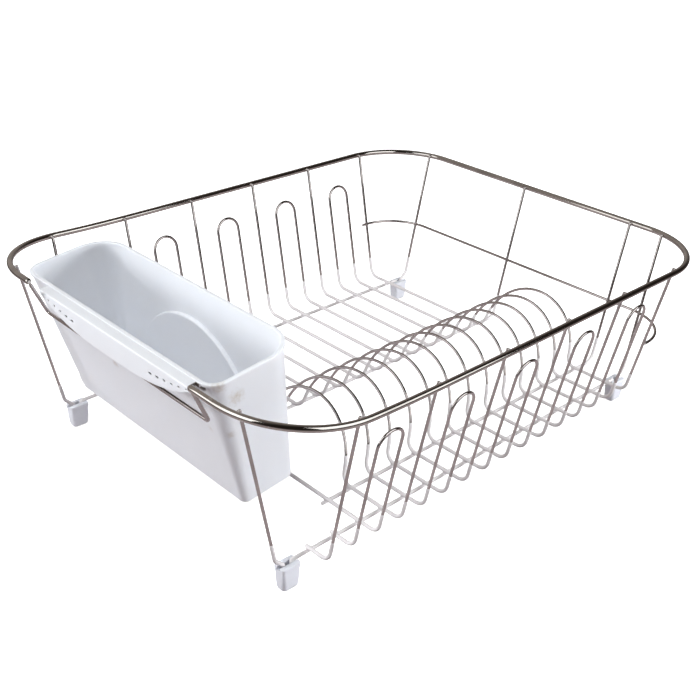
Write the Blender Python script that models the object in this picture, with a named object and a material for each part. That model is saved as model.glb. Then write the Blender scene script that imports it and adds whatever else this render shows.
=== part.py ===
"""Dish drainer: a chromed wire rack, dipped in white plastic below, with a cutlery cup that lifts off.

X runs along the rack and -Y is its front, where the plate arches stand. The origin lies on the
table, under the middle of the cross wires. All lengths are in metres and all wire places are
centre lines.
"""

import math

import bmesh
import bpy
from mathutils import Matrix, Quaternion, Vector

# Clearances and overruns
SEAT_GAP = 0.0003
CUT_OVERRUN = 0.004
JOIN_DEPTH = 0.0012

# Wire gauges, as radii
WIRE_R = 0.00125
COAT_R = 0.0016
RIM_R = 0.0025
CARRIER_R = 0.0015
COAT_STEP = 0.0005

# Cross wires
WIRE_PITCH = 0.024
WIRE_COUNT = 16
FLOOR_Z = 0.0256
FLOOR_HALF_Y = 0.1637
FLOOR_BEND_R = 0.0103
COAT_TOP_Z = 0.0455
HAIRPIN_TOP_Z = 0.1297
TIP_LENGTH = 0.0018
SHORT_WIRE_TAIL = 0.003

# Plate arches
ARCH_R = 0.0515
ARCH_CENTRE_Y = -0.0478
ARCH_CENTRE_H = 0.0027
ARCH_FOOT_R = 0.010
ARCH_LEAN = math.radians(19.1)
FIRST_ARCH_WIRE = 4

# Long rods, frame wires and the right end
FRAME_ROD_INSET = 0.022
ROD_LEAD = 0.0018
ROD_TAIL = 0.003
END_BAY = 0.029
END_BEND_R = 0.0103
GUARD_Z = 0.0805
GUARD_CORNER_R = 0.046
GUARD_TAIL = 0.004

# Rim and the dropped wire that carries the cup
RIM_OVERHANG = 0.0636
WALL_FLARE = 0.0301
RIM_Z = 0.1539
RIM_CORNER_R = 0.069
RIM_BACK_STRAIGHT = 0.0148
RIM_FRONT_STRAIGHT = 0.0278
OPEN_END_RISE = 0.0075
RISE_LENGTH = 0.179
RISE_CURVE = 3
CARRIER_INSET = 0.002
CARRIER_DROP = 0.0305
CARRIER_SET_IN = 0.0133
CARRIER_BEND_R = 0.0032

# Feet, with the frame wire looped down into each
FOOT_BAY = 0.019
FOOT_HEIGHT = 0.0215
FOOT_HALF_X = 0.0085
FOOT_HALF_Y = 0.0058
FOOT_BASE_HALF_X = 0.0076
FOOT_BASE_HALF_Y = 0.0052
FOOT_CORNER_R = 0.0022
FOOT_COLLAR = 0.0042
FOOT_STEP = 0.0005
FOOT_EDGE = 0.0009
FOOT_FLOOR = 0.0075
LOOP_HALF_X = 0.0036
LOOP_BEND_R = 0.0034
LEG_TURN_Z = 0.029
LEG_TURN_R = 0.004
LEG_ENTRY_DROP = 0.0011
LEG_ENTRY_R = 0.0024

# Cutlery cup
CUP_SHIFT_Y = 0.0139
CUP_LEAN = math.radians(6.9)
CUP_STAND_OFF = 0.0104
CUP_WALL = 0.0022
CUP_FLOOR = 0.0026
CUP_MOUTH_HALF_X = 0.0397
CUP_END_LAND = 0.0271
CUP_END_TAPER = 0.0118
CUP_MOUTH_INNER_R = 0.0295
CUP_MOUTH_OUTER_R = 0.014
CUP_BASE_HALF_X = 0.0250
CUP_BASE_R = 0.0072
CUP_BASE_SHIFT = 0.005
CUP_EDGE_R = 0.003
LIP_OUT = 0.0012
LIP_HEIGHT = 0.0032
LIP_EDGE = 0.0008
PANEL_R = 0.0755
PANEL_RISE = 0.0158
PANEL_SHIFT_Y = 0.004
PANEL_DEPTH = 0.0035
DRAIN_LENGTH = 0.022
DRAIN_WIDTH = 0.003
DRAIN_PITCH = 0.018
DRAIN_END_LAND = 0.016

# Hook flange of the cup
HOOK_END_CLEAR = 0.004
HOOK_SHIFT_Y = 0.0095
HOOK_WALL = 0.0018
HOOK_REACH = 0.008
HOOK_RISE = 0.0198
HOOK_STEP = 0.0004
HOOK_EDGE = 0.0009
SKIRT_DROP = 0.019
SKIRT_END_DROP = 0.0032
SKIRT_CURVE = 3
HOOK_RIB_WIDTH = 0.0022
HOOK_RIB_SPREAD = 0.034
HOOK_RIB_COUNT = 3
VENT_END_INSET = 0.0045
VENT_PITCH = 0.0086
VENT_LENGTH = 0.0042
VENT_HEIGHT = 0.0019
VENT_SIZE_SHARES = (1.0, 0.93, 0.84, 0.74, 0.64, 0.54)
VENT_DEPTH_SHARE = 0.56

# How finely bends are drawn
ARC_STEP = math.radians(22.5)
WIDE_ARC_STEP = math.radians(15)
RIM_ARC_STEP = math.radians(10)
RISE_STEPS = 6
FOOT_CORNER_STEPS = 3
CUP_CORNER_STEPS = 6
SKIRT_STEPS = 12
VENT_SIDES = 8
PANEL_SIDES = 64

# Places that follow from the sizes
OUTER_WIRE_X = WIRE_PITCH * (WIRE_COUNT - 1) / 2
FRAME_ROD_Y = FLOOR_HALF_Y - FRAME_ROD_INSET
RIM_HALF_X = OUTER_WIRE_X + RIM_OVERHANG
RIM_HALF_Y = FLOOR_HALF_Y + WALL_FLARE
RIM_END_BACK_Y = RIM_HALF_Y - RIM_CORNER_R - RIM_BACK_STRAIGHT
RIM_END_FRONT_Y = RIM_CORNER_R + RIM_FRONT_STRAIGHT - RIM_HALF_Y
END_FOOT_X = OUTER_WIRE_X + END_BAY
FOOT_X = OUTER_WIRE_X + FOOT_BAY
ROD_Z = FLOOR_Z - 2 * COAT_R - SEAT_GAP
WIRE_TO_RIM = RIM_R + WIRE_R + SEAT_GAP
WIRE_TO_WIRE = 2 * WIRE_R + SEAT_GAP
ARCH_FOOT_SPREAD = math.sqrt((ARCH_R + ARCH_FOOT_R) ** 2 - (ARCH_FOOT_R - ARCH_CENTRE_H) ** 2)
MIDDLE_ROD_Y = ARCH_CENTRE_Y + ARCH_FOOT_SPREAD + ROD_LEAD
FRONT_ROD_Y = ARCH_CENTRE_Y - ARCH_FOOT_SPREAD + ROD_LEAD
HAIRPIN_R = WIRE_PITCH / 2
HOOK_HALF_Y = (RIM_END_BACK_Y - RIM_END_FRONT_Y) / 2 - HOOK_END_CLEAR
HOOK_MIDDLE_Y = (RIM_END_BACK_Y + RIM_END_FRONT_Y) / 2 + HOOK_SHIFT_Y
HOOK_TOP_Z = RIM_Z + OPEN_END_RISE - CARRIER_DROP + HOOK_RISE
CUP_MOUTH_HALF_Y = HOOK_HALF_Y + CUP_END_LAND
CUP_BASE_HALF_Y = CUP_MOUTH_HALF_Y - CUP_END_TAPER
CUP_MOUTH_REACH = HOOK_REACH + CUP_MOUTH_HALF_X * math.cos(CUP_LEAN)
CUP_MOUTH_Z = HOOK_TOP_Z + CUP_MOUTH_REACH * math.tan(CUP_LEAN)
CUP_HEIGHT = (CUP_MOUTH_Z - FLOOR_Z - CUP_STAND_OFF) / math.cos(CUP_LEAN)


def clear_scene():
    for old in list(bpy.data.objects):
        bpy.data.objects.remove(old, do_unlink=True)


def new_collection(name):
    made = bpy.data.collections.new(name)
    bpy.context.scene.collection.children.link(made)
    return made


def plain_material(name, colour, roughness, metallic):
    made = bpy.data.materials.new(name)
    made.use_nodes = True
    shader = made.node_tree.nodes["Principled BSDF"]
    shader.inputs["Base Color"].default_value = (*colour, 1.0)
    shader.inputs["Roughness"].default_value = roughness
    shader.inputs["Metallic"].default_value = metallic
    made.diffuse_color = (*colour, 1.0)
    return made


# Paths

def bend(before, corner, after, radius, step=ARC_STEP):
    """Points of the arc of this radius that rounds a corner between two straight runs."""
    back = (before - corner).normalized()
    on = (after - corner).normalized()
    opening = back.angle(on)
    turn = math.pi - opening
    first = corner + back * radius / math.tan(opening / 2)
    centre = corner + (back + on).normalized() * radius / math.sin(opening / 2)
    axis = back.cross(on).normalized()
    count = max(2, round(turn / step))
    arm = first - centre
    return [centre + Quaternion(axis, -turn * i / count) @ arm for i in range(count + 1)]


def rounded_path(corners, radii, step=ARC_STEP):
    """The open path through these corners, each rounded by its radius."""
    path = [corners[0]]
    for i, radius in enumerate(radii, start=1):
        path += bend(corners[i - 1], corners[i], corners[i + 1], radius, step)
    return path + [corners[-1]]


def wire_x(number):
    """X of a cross wire, counted from 1 at the open end."""
    return WIRE_PITCH * (number - 1) - OUTER_WIRE_X


# The rim's place

def rim_z(x):
    """Height of the rim, which curves up towards its open end."""
    share = min(max((RISE_LENGTH - RIM_HALF_X - x) / RISE_LENGTH, 0), 1)
    return RIM_Z + OPEN_END_RISE * share ** RISE_CURVE


def corner_inset(past, radius):
    """How far a round corner has come in, this far past the end of the straight run."""
    past = min(max(past, 0), radius)
    return radius - math.sqrt(radius ** 2 - past ** 2)


def rim_y_at(x):
    return RIM_HALF_Y - corner_inset(abs(x) - (RIM_HALF_X - RIM_CORNER_R), RIM_CORNER_R)


def rim_x_at(y):
    return RIM_HALF_X - corner_inset(abs(y) - (RIM_HALF_Y - RIM_CORNER_R), RIM_CORNER_R)


def make_rim_path():
    half_x, half_y = RIM_HALF_X, RIM_HALF_Y
    flat = [
        Vector((-half_x, RIM_END_BACK_Y, RIM_Z)),
        Vector((-half_x, half_y, RIM_Z)),
        Vector((half_x, half_y, RIM_Z)),
        Vector((half_x, -half_y, RIM_Z)),
        Vector((-half_x, -half_y, RIM_Z)),
        Vector((-half_x, RIM_END_FRONT_Y, RIM_Z)),
    ]
    path = rounded_path(flat, [RIM_CORNER_R] * 4, RIM_ARC_STEP)
    straight = RISE_LENGTH - RIM_CORNER_R
    climb = [RIM_CORNER_R - half_x + straight * i / RISE_STEPS for i in range(1, RISE_STEPS + 1)]
    full = []
    for here, after in zip(path, path[1:] + path[-1:]):
        full.append(here)
        if abs(after.x - here.x) > straight:
            places = climb if after.x > here.x else climb[::-1]
            full += [Vector((x, here.y, RIM_Z)) for x in places]
    return [Vector((p.x, p.y, rim_z(p.x))) for p in full]


# Walls and ends

def wall_slope(x, reached_z):
    """How far a wall wire leans out for each unit of height."""
    lean = (rim_y_at(x) - FLOOR_HALF_Y) / (reached_z - FLOOR_Z)
    inside = WIRE_TO_RIM * math.hypot(1, lean)
    return (rim_y_at(x) - inside - FLOOR_HALF_Y) / (reached_z - FLOOR_Z)


def wall_point(x, side, z, reached_z):
    """Point of the front (side -1) or back (side 1) wall at height z."""
    return Vector((x, side * (FLOOR_HALF_Y + wall_slope(x, reached_z) * (z - FLOOR_Z)), z))


def wall_tip(x, side):
    height = rim_z(x)
    return wall_point(x, side, height + TIP_LENGTH, height)


def end_slope(side, y):
    height = rim_z(side * RIM_HALF_X)
    lean = (rim_x_at(y) - END_FOOT_X) / (height - ROD_Z)
    inside = WIRE_TO_RIM * math.hypot(1, lean)
    return (rim_x_at(y) - inside - END_FOOT_X) / (height - ROD_Z)


def end_point(side, y, z):
    """Point of the left (side -1) or right (side 1) end's uprights at height z."""
    return Vector((side * (END_FOOT_X + end_slope(side, y) * (z - ROD_Z)), y, z))


def end_tip(side, y):
    return end_point(side, y, rim_z(side * RIM_HALF_X) + TIP_LENGTH)


def floor_corner(x, side):
    return Vector((x, side * FLOOR_HALF_Y, FLOOR_Z))


def wall_bend(x, side, top):
    """Bend from the wall into the floor, from the top down."""
    return bend(top, floor_corner(x, side), floor_corner(x, -side), FLOOR_BEND_R)


# Cross wires

def arch_point(x, y, height):
    """Point of the leaning plane that stands on a floor wire."""
    return Vector((x + height * math.sin(ARCH_LEAN), y, FLOOR_Z + height * math.cos(ARCH_LEAN)))


def arch_path(x):
    """Plate arch, from its front foot to its back foot."""
    sink = math.asin((ARCH_FOOT_R - ARCH_CENTRE_H) / (ARCH_R + ARCH_FOOT_R))
    foot_turn = math.pi / 2 - sink
    foot_steps = max(2, round(foot_turn / ARC_STEP))
    arch_turn = math.pi - 2 * sink
    arch_steps = round(arch_turn / WIDE_ARC_STEP)
    flat = []
    for i in range(foot_steps):
        angle = foot_turn * i / foot_steps
        flat.append((ARCH_FOOT_R * math.sin(angle) - ARCH_FOOT_SPREAD, ARCH_FOOT_R * (1 - math.cos(angle))))
    for i in range(arch_steps + 1):
        angle = sink + arch_turn * i / arch_steps
        flat.append((-ARCH_R * math.cos(angle), ARCH_CENTRE_H + ARCH_R * math.sin(angle)))
    flat += [(-y, height) for y, height in flat[foot_steps - 1::-1]]
    return [arch_point(x, ARCH_CENTRE_Y + y, height) for y, height in flat]


def crossing(number, front_top, back_top):
    """One cross wire from its front top to its back top, with its arch if it has one."""
    x = wire_x(number)
    arch = arch_path(x) if number >= FIRST_ARCH_WIRE else []
    return [*wall_bend(x, -1, front_top), *arch, *reversed(wall_bend(x, 1, back_top))]


def hairpin(number, side):
    """Half circle that joins wall wires number and number + 1, tangent to both."""
    slope = wall_slope(0, RIM_Z)
    up = Vector((0, side * slope, 1)).normalized()
    centre_x = (wire_x(number) + wire_x(number + 1)) / 2
    centre_z = HAIRPIN_TOP_Z - HAIRPIN_R * up.z
    centre = Vector((centre_x, side * (FLOOR_HALF_Y + slope * (centre_z - FLOOR_Z)), centre_z))
    along = Vector((1, 0, 0))
    count = round(math.pi / ARC_STEP)
    turns = [math.pi * i / count for i in range(count + 1)]
    return [centre - along * HAIRPIN_R * math.cos(t) + up * HAIRPIN_R * math.sin(t) for t in turns]


def single_path(number):
    x = wire_x(number)
    front, back = wall_tip(x, -1), wall_tip(x, 1)
    return [front, *crossing(number, front, back), back]


def loop_path(number):
    """Closed loop of wires number and number + 1."""
    front, back = hairpin(number, -1), hairpin(number, 1)
    out = crossing(number, front[0], back[0])
    home = crossing(number + 1, front[-1], back[-1])
    return [*out, *back, *reversed(home), *reversed(front)]


def short_leg(number, side, top):
    """Floor end of a wall wire that stops on the frame wire under it, from the tail up."""
    x = wire_x(number)
    tail = Vector((x, side * (FRAME_ROD_Y - SHORT_WIRE_TAIL), FLOOR_Z))
    return [tail, *reversed(wall_bend(x, side, top))]


def corner_path(side):
    """Short wire at the open end, from its tail on the frame wire to the rim."""
    tip = wall_tip(wire_x(1), side)
    return [*short_leg(1, side, tip), tip]


def left_pair_path():
    """Wire 2, cut off on the frame wires at both sides, in one piece with wire 3."""
    front, back = hairpin(2, -1), hairpin(2, 1)
    across = crossing(3, front[-1], back[-1])
    start = [*short_leg(2, -1, front[0]), *front]
    end = [*reversed(back), *reversed(short_leg(2, 1, back[0]))]
    return [*start, *across, *end]


# Long wires

def frame_path(side):
    """Left leg, loop in a foot, run under the cross wires, loop in a foot and right upright."""
    y = side * FRAME_ROD_Y
    entry_z = ROD_Z - LEG_ENTRY_DROP
    bottom_z = FOOT_FLOOR + SEAT_GAP + COAT_R

    def end_corners(end):
        turn = end_point(end, y, LEG_TURN_Z)
        outer, inner = end * (FOOT_X + LOOP_HALF_X), end * (FOOT_X - LOOP_HALF_X)
        places = [(outer, entry_z), (outer, bottom_z), (inner, bottom_z), (inner, ROD_Z)]
        return [end_tip(end, y), turn, *(Vector((x, y, z)) for x, z in places)]

    radii = [LEG_TURN_R, LEG_ENTRY_R, LOOP_BEND_R, LOOP_BEND_R, LEG_ENTRY_R]
    corners = end_corners(-1) + end_corners(1)[::-1]
    return rounded_path(corners, radii + radii[::-1])


def rod_path(y):
    """Floor rod from the third cross wire to the right, where it turns up to the rim."""
    start = Vector((wire_x(3) - COAT_R - ROD_TAIL, y, ROD_Z))
    corner = Vector((END_FOOT_X, y, ROD_Z))
    return rounded_path([start, corner, end_tip(1, y)], [END_BEND_R])


def guard_path():
    """Guard wire round the outside of the right end's uprights and of the last cross wire."""
    last_x = wire_x(WIRE_COUNT)
    slope_y = math.hypot(1, wall_slope(last_x, RIM_Z))
    guard_y = wall_point(last_x, 1, GUARD_Z, RIM_Z).y + WIRE_TO_WIRE * slope_y
    guard_x = 0
    for y in (MIDDLE_ROD_Y, FRAME_ROD_Y):
        beside = end_point(1, y, GUARD_Z).x + WIRE_TO_WIRE * math.hypot(1, end_slope(1, y))
        inset = corner_inset(y - (guard_y - GUARD_CORNER_R), GUARD_CORNER_R)
        guard_x = max(guard_x, beside + inset)
    tail_x = last_x - GUARD_TAIL
    places = [(tail_x, -guard_y), (guard_x, -guard_y), (guard_x, guard_y), (tail_x, guard_y)]
    corners = [Vector((x, y, GUARD_Z)) for x, y in places]
    return rounded_path(corners, [GUARD_CORNER_R] * 2, WIDE_ARC_STEP)


def carrier_line():
    """Ends of the straight bar that the cup hangs on."""
    bar_x = CARRIER_SET_IN - RIM_HALF_X
    bar_z = rim_z(-RIM_HALF_X) - CARRIER_DROP
    front_y = RIM_END_FRONT_Y - CARRIER_INSET
    back_y = RIM_END_BACK_Y + CARRIER_INSET
    return Vector((bar_x, front_y, bar_z)), Vector((bar_x, back_y, bar_z))


def carrier_path():
    front, back = carrier_line()
    top_z = rim_z(-RIM_HALF_X)
    ends = []
    for low in (front, back):
        rim_centre = Vector((-RIM_HALF_X, low.y, top_z))
        ends.append(rim_centre + (low - rim_centre).normalized() * (RIM_R + SEAT_GAP))
    return rounded_path([ends[0], front, back, ends[1]], [CARRIER_BEND_R] * 2)


# Solids

def coated(path, closed):
    """Path with a radius for each point, stepping up where the wire was dipped."""
    inside = [p.z < COAT_TOP_Z for p in path]
    made = []
    count = len(path)
    for i, here in enumerate(path):
        made.append((here, COAT_R if inside[i] else WIRE_R))
        if i == count - 1 and not closed:
            break
        after = path[(i + 1) % count]
        if inside[i] == inside[(i + 1) % count]:
            continue
        along = (after - here).normalized()
        edge = here.lerp(after, (COAT_TOP_Z - here.z) / (after.z - here.z))
        radii = (COAT_R, WIRE_R) if inside[i] else (WIRE_R, COAT_R)
        made.append((edge - along * COAT_STEP / 2, radii[0]))
        made.append((edge + along * COAT_STEP / 2, radii[1]))
    return made


def wire(name, path, radius, material, home, dipped=False, closed=False):
    """Round wire along a path; a dipped one is thicker below the coat's edge."""
    points = coated(path, closed) if dipped else [(p, radius) for p in path]
    data = bpy.data.curves.new(name, "CURVE")
    data.dimensions = "3D"
    data.fill_mode = "FULL"
    data.bevel_depth = radius
    data.bevel_resolution = 2
    data.use_fill_caps = True
    line = data.splines.new("POLY")
    line.points.add(len(points) - 1)
    for point, (place, thickness) in zip(line.points, points):
        point.co = (*place, 1)
        point.radius = thickness / radius
    line.use_cyclic_u = closed
    line.use_smooth = True
    made = bpy.data.objects.new(name, data)
    data.materials.append(material)
    home.objects.link(made)
    return made


def finish_mesh(name, shape, material, home):
    bmesh.ops.recalc_face_normals(shape, faces=shape.faces)
    data = bpy.data.meshes.new(name)
    shape.to_mesh(data)
    shape.free()
    made = bpy.data.objects.new(name, data)
    if material:
        data.materials.append(material)
    home.objects.link(made)
    return made


def rounded_rectangle(half_x, half_y, right_r, left_r, steps, z, centre_x=0):
    """Ring of points round a rectangle, with one radius for the corners at +X and one for -X."""
    points = []
    corners = ((1, 1, right_r), (-1, 1, left_r), (-1, -1, left_r), (1, -1, right_r))
    for quarter, (side_x, side_y, radius) in enumerate(corners):
        for i in range(steps + 1):
            angle = math.pi / 2 * (quarter + i / steps)
            x = centre_x + side_x * (half_x - radius) + radius * math.cos(angle)
            y = side_y * (half_y - radius) + radius * math.sin(angle)
            points.append(Vector((x, y, z)))
    return points


def loft(name, rings, material, home):
    """Closed skin through rings of equal point counts, capped at the first and the last."""
    shape = bmesh.new()
    loops = [[shape.verts.new(p) for p in ring] for ring in rings]
    for low, high in zip(loops, loops[1:]):
        for i, vertex in enumerate(low):
            after = (i + 1) % len(low)
            shape.faces.new((vertex, low[after], high[after], high[i]))
    shape.faces.new(loops[0][::-1])
    shape.faces.new(loops[-1])
    return finish_mesh(name, shape, material, home)


def boxes(name, corners, home):
    """Boxes from pairs of low and high corners, as one cutter."""
    shape = bmesh.new()
    for low, high in corners:
        low, high = Vector(low), Vector(high)
        place = Matrix.Translation((low + high) / 2) @ Matrix.Diagonal((*(high - low), 1))
        bmesh.ops.create_cube(shape, size=1, matrix=place)
    return finish_mesh(name, shape, None, home)


def discs(name, places, thickness, sides, home):
    """Round or oval cutters across X, each given by its centre and its two radii."""
    shape = bmesh.new()
    for centre, half_y, half_z in places:
        upright = Matrix.Rotation(math.pi / 2, 4, "Y")
        stretch = Matrix.Diagonal((thickness, half_y, half_z, 1))
        place = Matrix.Translation(centre) @ stretch @ upright
        bmesh.ops.create_cone(
            shape, cap_ends=True, segments=sides, radius1=1, radius2=1, depth=1, matrix=place)
    return finish_mesh(name, shape, None, home)


def boolean(target, tool, operation):
    step = target.modifiers.new(operation.lower() + "_" + tool.name, "BOOLEAN")
    step.operation = operation
    step.solver = "EXACT"
    step.object = tool
    tool.hide_render = True
    tool.display_type = "WIRE"


def shade(made):
    made.data.shade_smooth()
    made.data.set_sharp_from_angle(angle=math.radians(35))


# Feet

def foot_section(half_x, half_y, grow, z):
    radius = FOOT_CORNER_R + grow
    return rounded_rectangle(half_x + grow, half_y + grow, radius, radius, FOOT_CORNER_STEPS, z)


def make_foot(name, side_x, side_y, material, home, helpers):
    """Moulded foot with a collar, pocketed for the frame wire's loop."""
    waist_z = FOOT_HEIGHT - FOOT_COLLAR
    rings = [
        foot_section(FOOT_BASE_HALF_X, FOOT_BASE_HALF_Y, -FOOT_EDGE, 0),
        foot_section(FOOT_BASE_HALF_X, FOOT_BASE_HALF_Y, 0, FOOT_EDGE),
        foot_section(FOOT_HALF_X, FOOT_HALF_Y, -FOOT_STEP, waist_z),
        foot_section(FOOT_HALF_X, FOOT_HALF_Y, 0, waist_z + FOOT_STEP),
        foot_section(FOOT_HALF_X, FOOT_HALF_Y, 0, FOOT_HEIGHT - FOOT_EDGE),
        foot_section(FOOT_HALF_X, FOOT_HALF_Y, -FOOT_EDGE, FOOT_HEIGHT),
    ]
    foot = loft(name, rings, material, home)
    foot.location = (side_x * FOOT_X, side_y * FRAME_ROD_Y, 0)
    around = COAT_R + SEAT_GAP
    reach = LOOP_HALF_X + around
    top = FOOT_HEIGHT + CUT_OVERRUN
    across = FOOT_HALF_X + CUT_OVERRUN
    pocket = ((-reach, -around, FOOT_FLOOR), (reach, around, top))
    groove = ((-across, -around, ROD_Z - LEG_ENTRY_DROP - around), (across, around, top))
    for tool_name, corners in (("_pocket", pocket), ("_groove", groove)):
        tool = boxes(name + tool_name, [corners], helpers)
        tool.location = foot.location
        boolean(foot, tool, "DIFFERENCE")
    shade(foot)
    return foot


# Cup

def cup_section(depth, grow):
    """Section of the cup at a depth under its mouth, grown outward."""
    share = depth / CUP_HEIGHT
    half_x = CUP_MOUTH_HALF_X + (CUP_BASE_HALF_X - CUP_MOUTH_HALF_X) * share + grow
    half_y = CUP_MOUTH_HALF_Y + (CUP_BASE_HALF_Y - CUP_MOUTH_HALF_Y) * share + grow
    inner_r = CUP_MOUTH_INNER_R + (CUP_BASE_R - CUP_MOUTH_INNER_R) * share + grow
    outer_r = CUP_MOUTH_OUTER_R + (CUP_BASE_R - CUP_MOUTH_OUTER_R) * share + grow
    shift = CUP_BASE_SHIFT * share
    return rounded_rectangle(half_x, half_y, inner_r, outer_r, CUP_CORNER_STEPS, -depth, shift)


def cup_body(material, home):
    """The cup's outside as one solid, in its own frame with the mouth's centre at the origin."""
    rings = [
        cup_section(CUP_HEIGHT, -LIP_OUT - CUP_EDGE_R),
        cup_section(CUP_HEIGHT - CUP_EDGE_R / 3, -LIP_OUT - CUP_EDGE_R / 3),
        cup_section(CUP_HEIGHT - CUP_EDGE_R, -LIP_OUT),
        cup_section(LIP_HEIGHT, -LIP_OUT),
        cup_section(LIP_HEIGHT - LIP_EDGE, 0),
        cup_section(LIP_EDGE, 0),
        cup_section(0, -LIP_EDGE),
    ]
    return loft("cutlery_cup", rings, material, home)


def cup_cavity(home):
    """The space inside the cup, open past the mouth, in the cup's frame."""
    wall = -LIP_OUT - CUP_WALL
    floor = CUP_HEIGHT - CUP_FLOOR
    rings = [
        cup_section(floor, wall - CUP_EDGE_R),
        cup_section(floor - CUP_EDGE_R / 3, wall - CUP_EDGE_R / 3),
        cup_section(floor - CUP_EDGE_R, wall),
        cup_section(LIP_EDGE, wall),
        cup_section(-CUT_OVERRUN, wall + LIP_EDGE + CUT_OVERRUN),
    ]
    return loft("cup_cavity", rings, None, home)


def panel_disc(name, radius, outside, inside, home):
    """Disc that lies in the cup's inner long wall, between two depths from that wall's outer face."""
    fall = math.atan((CUP_MOUTH_HALF_X - CUP_BASE_HALF_X - CUP_BASE_SHIFT) / CUP_HEIGHT)
    disc = discs(name, [((0, 0, 0), radius, radius)], inside - outside, PANEL_SIDES, home)
    middle = (outside + inside) / 2
    depth = CUP_HEIGHT - PANEL_RISE
    wall_x = CUP_MOUTH_HALF_X - LIP_OUT - depth * math.tan(fall)
    turn = Matrix.Rotation(fall, 4, "Y")
    place = Matrix.Translation((wall_x, PANEL_SHIFT_Y, -depth))
    disc.matrix_basis = place @ turn @ Matrix.Translation((-middle, 0, 0))
    return disc


def skirt_drop(y):
    """Depth of the hook's skirt under its top edge, deepest in the middle."""
    share = abs(y) / HOOK_HALF_Y
    return SKIRT_DROP - (SKIRT_DROP - SKIRT_END_DROP) * share ** SKIRT_CURVE


def skirt_face_x():
    """X of the skirt's outer face, set by the bar that it hangs on."""
    front, _ = carrier_line()
    return front.x - CARRIER_R - SEAT_GAP - HOOK_WALL


def cup_place():
    """Where the mouth's centre lies."""
    return Vector((skirt_face_x() + CUP_MOUTH_REACH, HOOK_MIDDLE_Y + CUP_SHIFT_Y, CUP_MOUTH_Z))


def hook_block(home):
    """Flange and skirt over the bar, cut into channels between the ribs that rest on it."""
    skirt_x, top_z, middle_y = skirt_face_x(), HOOK_TOP_Z, HOOK_MIDDLE_Y
    wall_fall = (CUP_MOUTH_HALF_X - CUP_BASE_HALF_X + CUP_BASE_SHIFT) / CUP_HEIGHT + math.tan(CUP_LEAN)
    depth = HOOK_REACH + LIP_OUT + SKIRT_DROP * wall_fall + JOIN_DEPTH
    inner_x = skirt_x + depth
    rise = math.tan(CUP_LEAN)
    rings = []
    for i in range(2 * SKIRT_STEPS + 1):
        y = HOOK_HALF_Y * (i / SKIRT_STEPS - 1)
        low_z = top_z - skirt_drop(y)
        section = [
            (skirt_x, low_z),
            (inner_x, low_z),
            (inner_x, top_z - HOOK_STEP + depth * rise),
            (skirt_x + HOOK_EDGE, top_z - HOOK_STEP + HOOK_EDGE * rise),
            (skirt_x, top_z - HOOK_STEP - HOOK_EDGE),
        ]
        rings.append([Vector((x, middle_y + y, z)) for x, z in section])
    block = loft("hook_block", rings, None, home)

    front, _ = carrier_line()
    low_z = top_z - SKIRT_DROP - CUT_OVERRUN
    channel_x = skirt_x + HOOK_WALL
    past_x = inner_x + CUT_OVERRUN
    end_y = HOOK_HALF_Y + CUT_OVERRUN
    ribs = [HOOK_RIB_SPREAD * (i - (HOOK_RIB_COUNT - 1) / 2) for i in range(HOOK_RIB_COUNT)]
    starts = [-end_y] + [rib + HOOK_RIB_WIDTH / 2 for rib in ribs]
    stops = [rib - HOOK_RIB_WIDTH / 2 for rib in ribs] + [end_y]
    roof_z = top_z - HOOK_STEP - HOOK_WALL
    channels = []
    for start, stop in zip(starts, stops):
        channels.append(((channel_x, middle_y + start, low_z), (past_x, middle_y + stop, roof_z)))
    boolean(block, boxes("hook_channels", channels, home), "DIFFERENCE")
    seat_z = front.z + CARRIER_R + SEAT_GAP
    seat = ((channel_x, middle_y - end_y, low_z), (past_x, middle_y + end_y, seat_z))
    boolean(block, boxes("bar_clearance", [seat], home), "DIFFERENCE")

    vents = []
    for i, share in enumerate(reversed(VENT_SIZE_SHARES)):
        for side in (-1, 1):
            y = side * (HOOK_HALF_Y - VENT_END_INSET - VENT_PITCH * i)
            z = top_z - VENT_DEPTH_SHARE * skirt_drop(y)
            centre = (skirt_x + HOOK_WALL / 2, middle_y + y, z)
            vents.append((centre, VENT_LENGTH * share / 2, VENT_HEIGHT * share / 2))
    boolean(block, discs("skirt_vents", vents, HOOK_WALL + CUT_OVERRUN, VENT_SIDES, home), "DIFFERENCE")
    return block


def make_cup(material, home, helpers):
    cup = cup_body(material, home)
    cup.location = cup_place()
    cup.rotation_euler = (0, -CUP_LEAN, 0)

    cavity = cup_cavity(helpers)
    inner_face = CUP_WALL + PANEL_DEPTH
    raised = panel_disc("raised_panel", PANEL_R, -CUT_OVERRUN, inner_face, helpers)
    boolean(cavity, raised, "DIFFERENCE")
    recess = panel_disc("panel_recess", PANEL_R - CUP_WALL, -CUT_OVERRUN, PANEL_DEPTH, helpers)
    slots = []
    each_side = int((CUP_BASE_HALF_Y - DRAIN_END_LAND) / DRAIN_PITCH)
    for i in range(-each_side, each_side + 1):
        y = DRAIN_PITCH * i
        low = (CUP_BASE_SHIFT - DRAIN_LENGTH / 2, y - DRAIN_WIDTH / 2, -CUP_HEIGHT - CUT_OVERRUN)
        high = (CUP_BASE_SHIFT + DRAIN_LENGTH / 2, y + DRAIN_WIDTH / 2, CUT_OVERRUN - CUP_HEIGHT)
        slots.append((low, high))
    drains = boxes("drain_slots", slots, helpers)
    for tool in (cavity, raised, recess, drains):
        tool.matrix_basis = Matrix.LocRotScale(cup.location, cup.rotation_euler, None) @ tool.matrix_basis

    boolean(cup, hook_block(helpers), "UNION")
    boolean(cup, cavity, "DIFFERENCE")
    boolean(cup, recess, "DIFFERENCE")
    boolean(cup, drains, "DIFFERENCE")
    shade(cup)
    return cup


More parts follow.
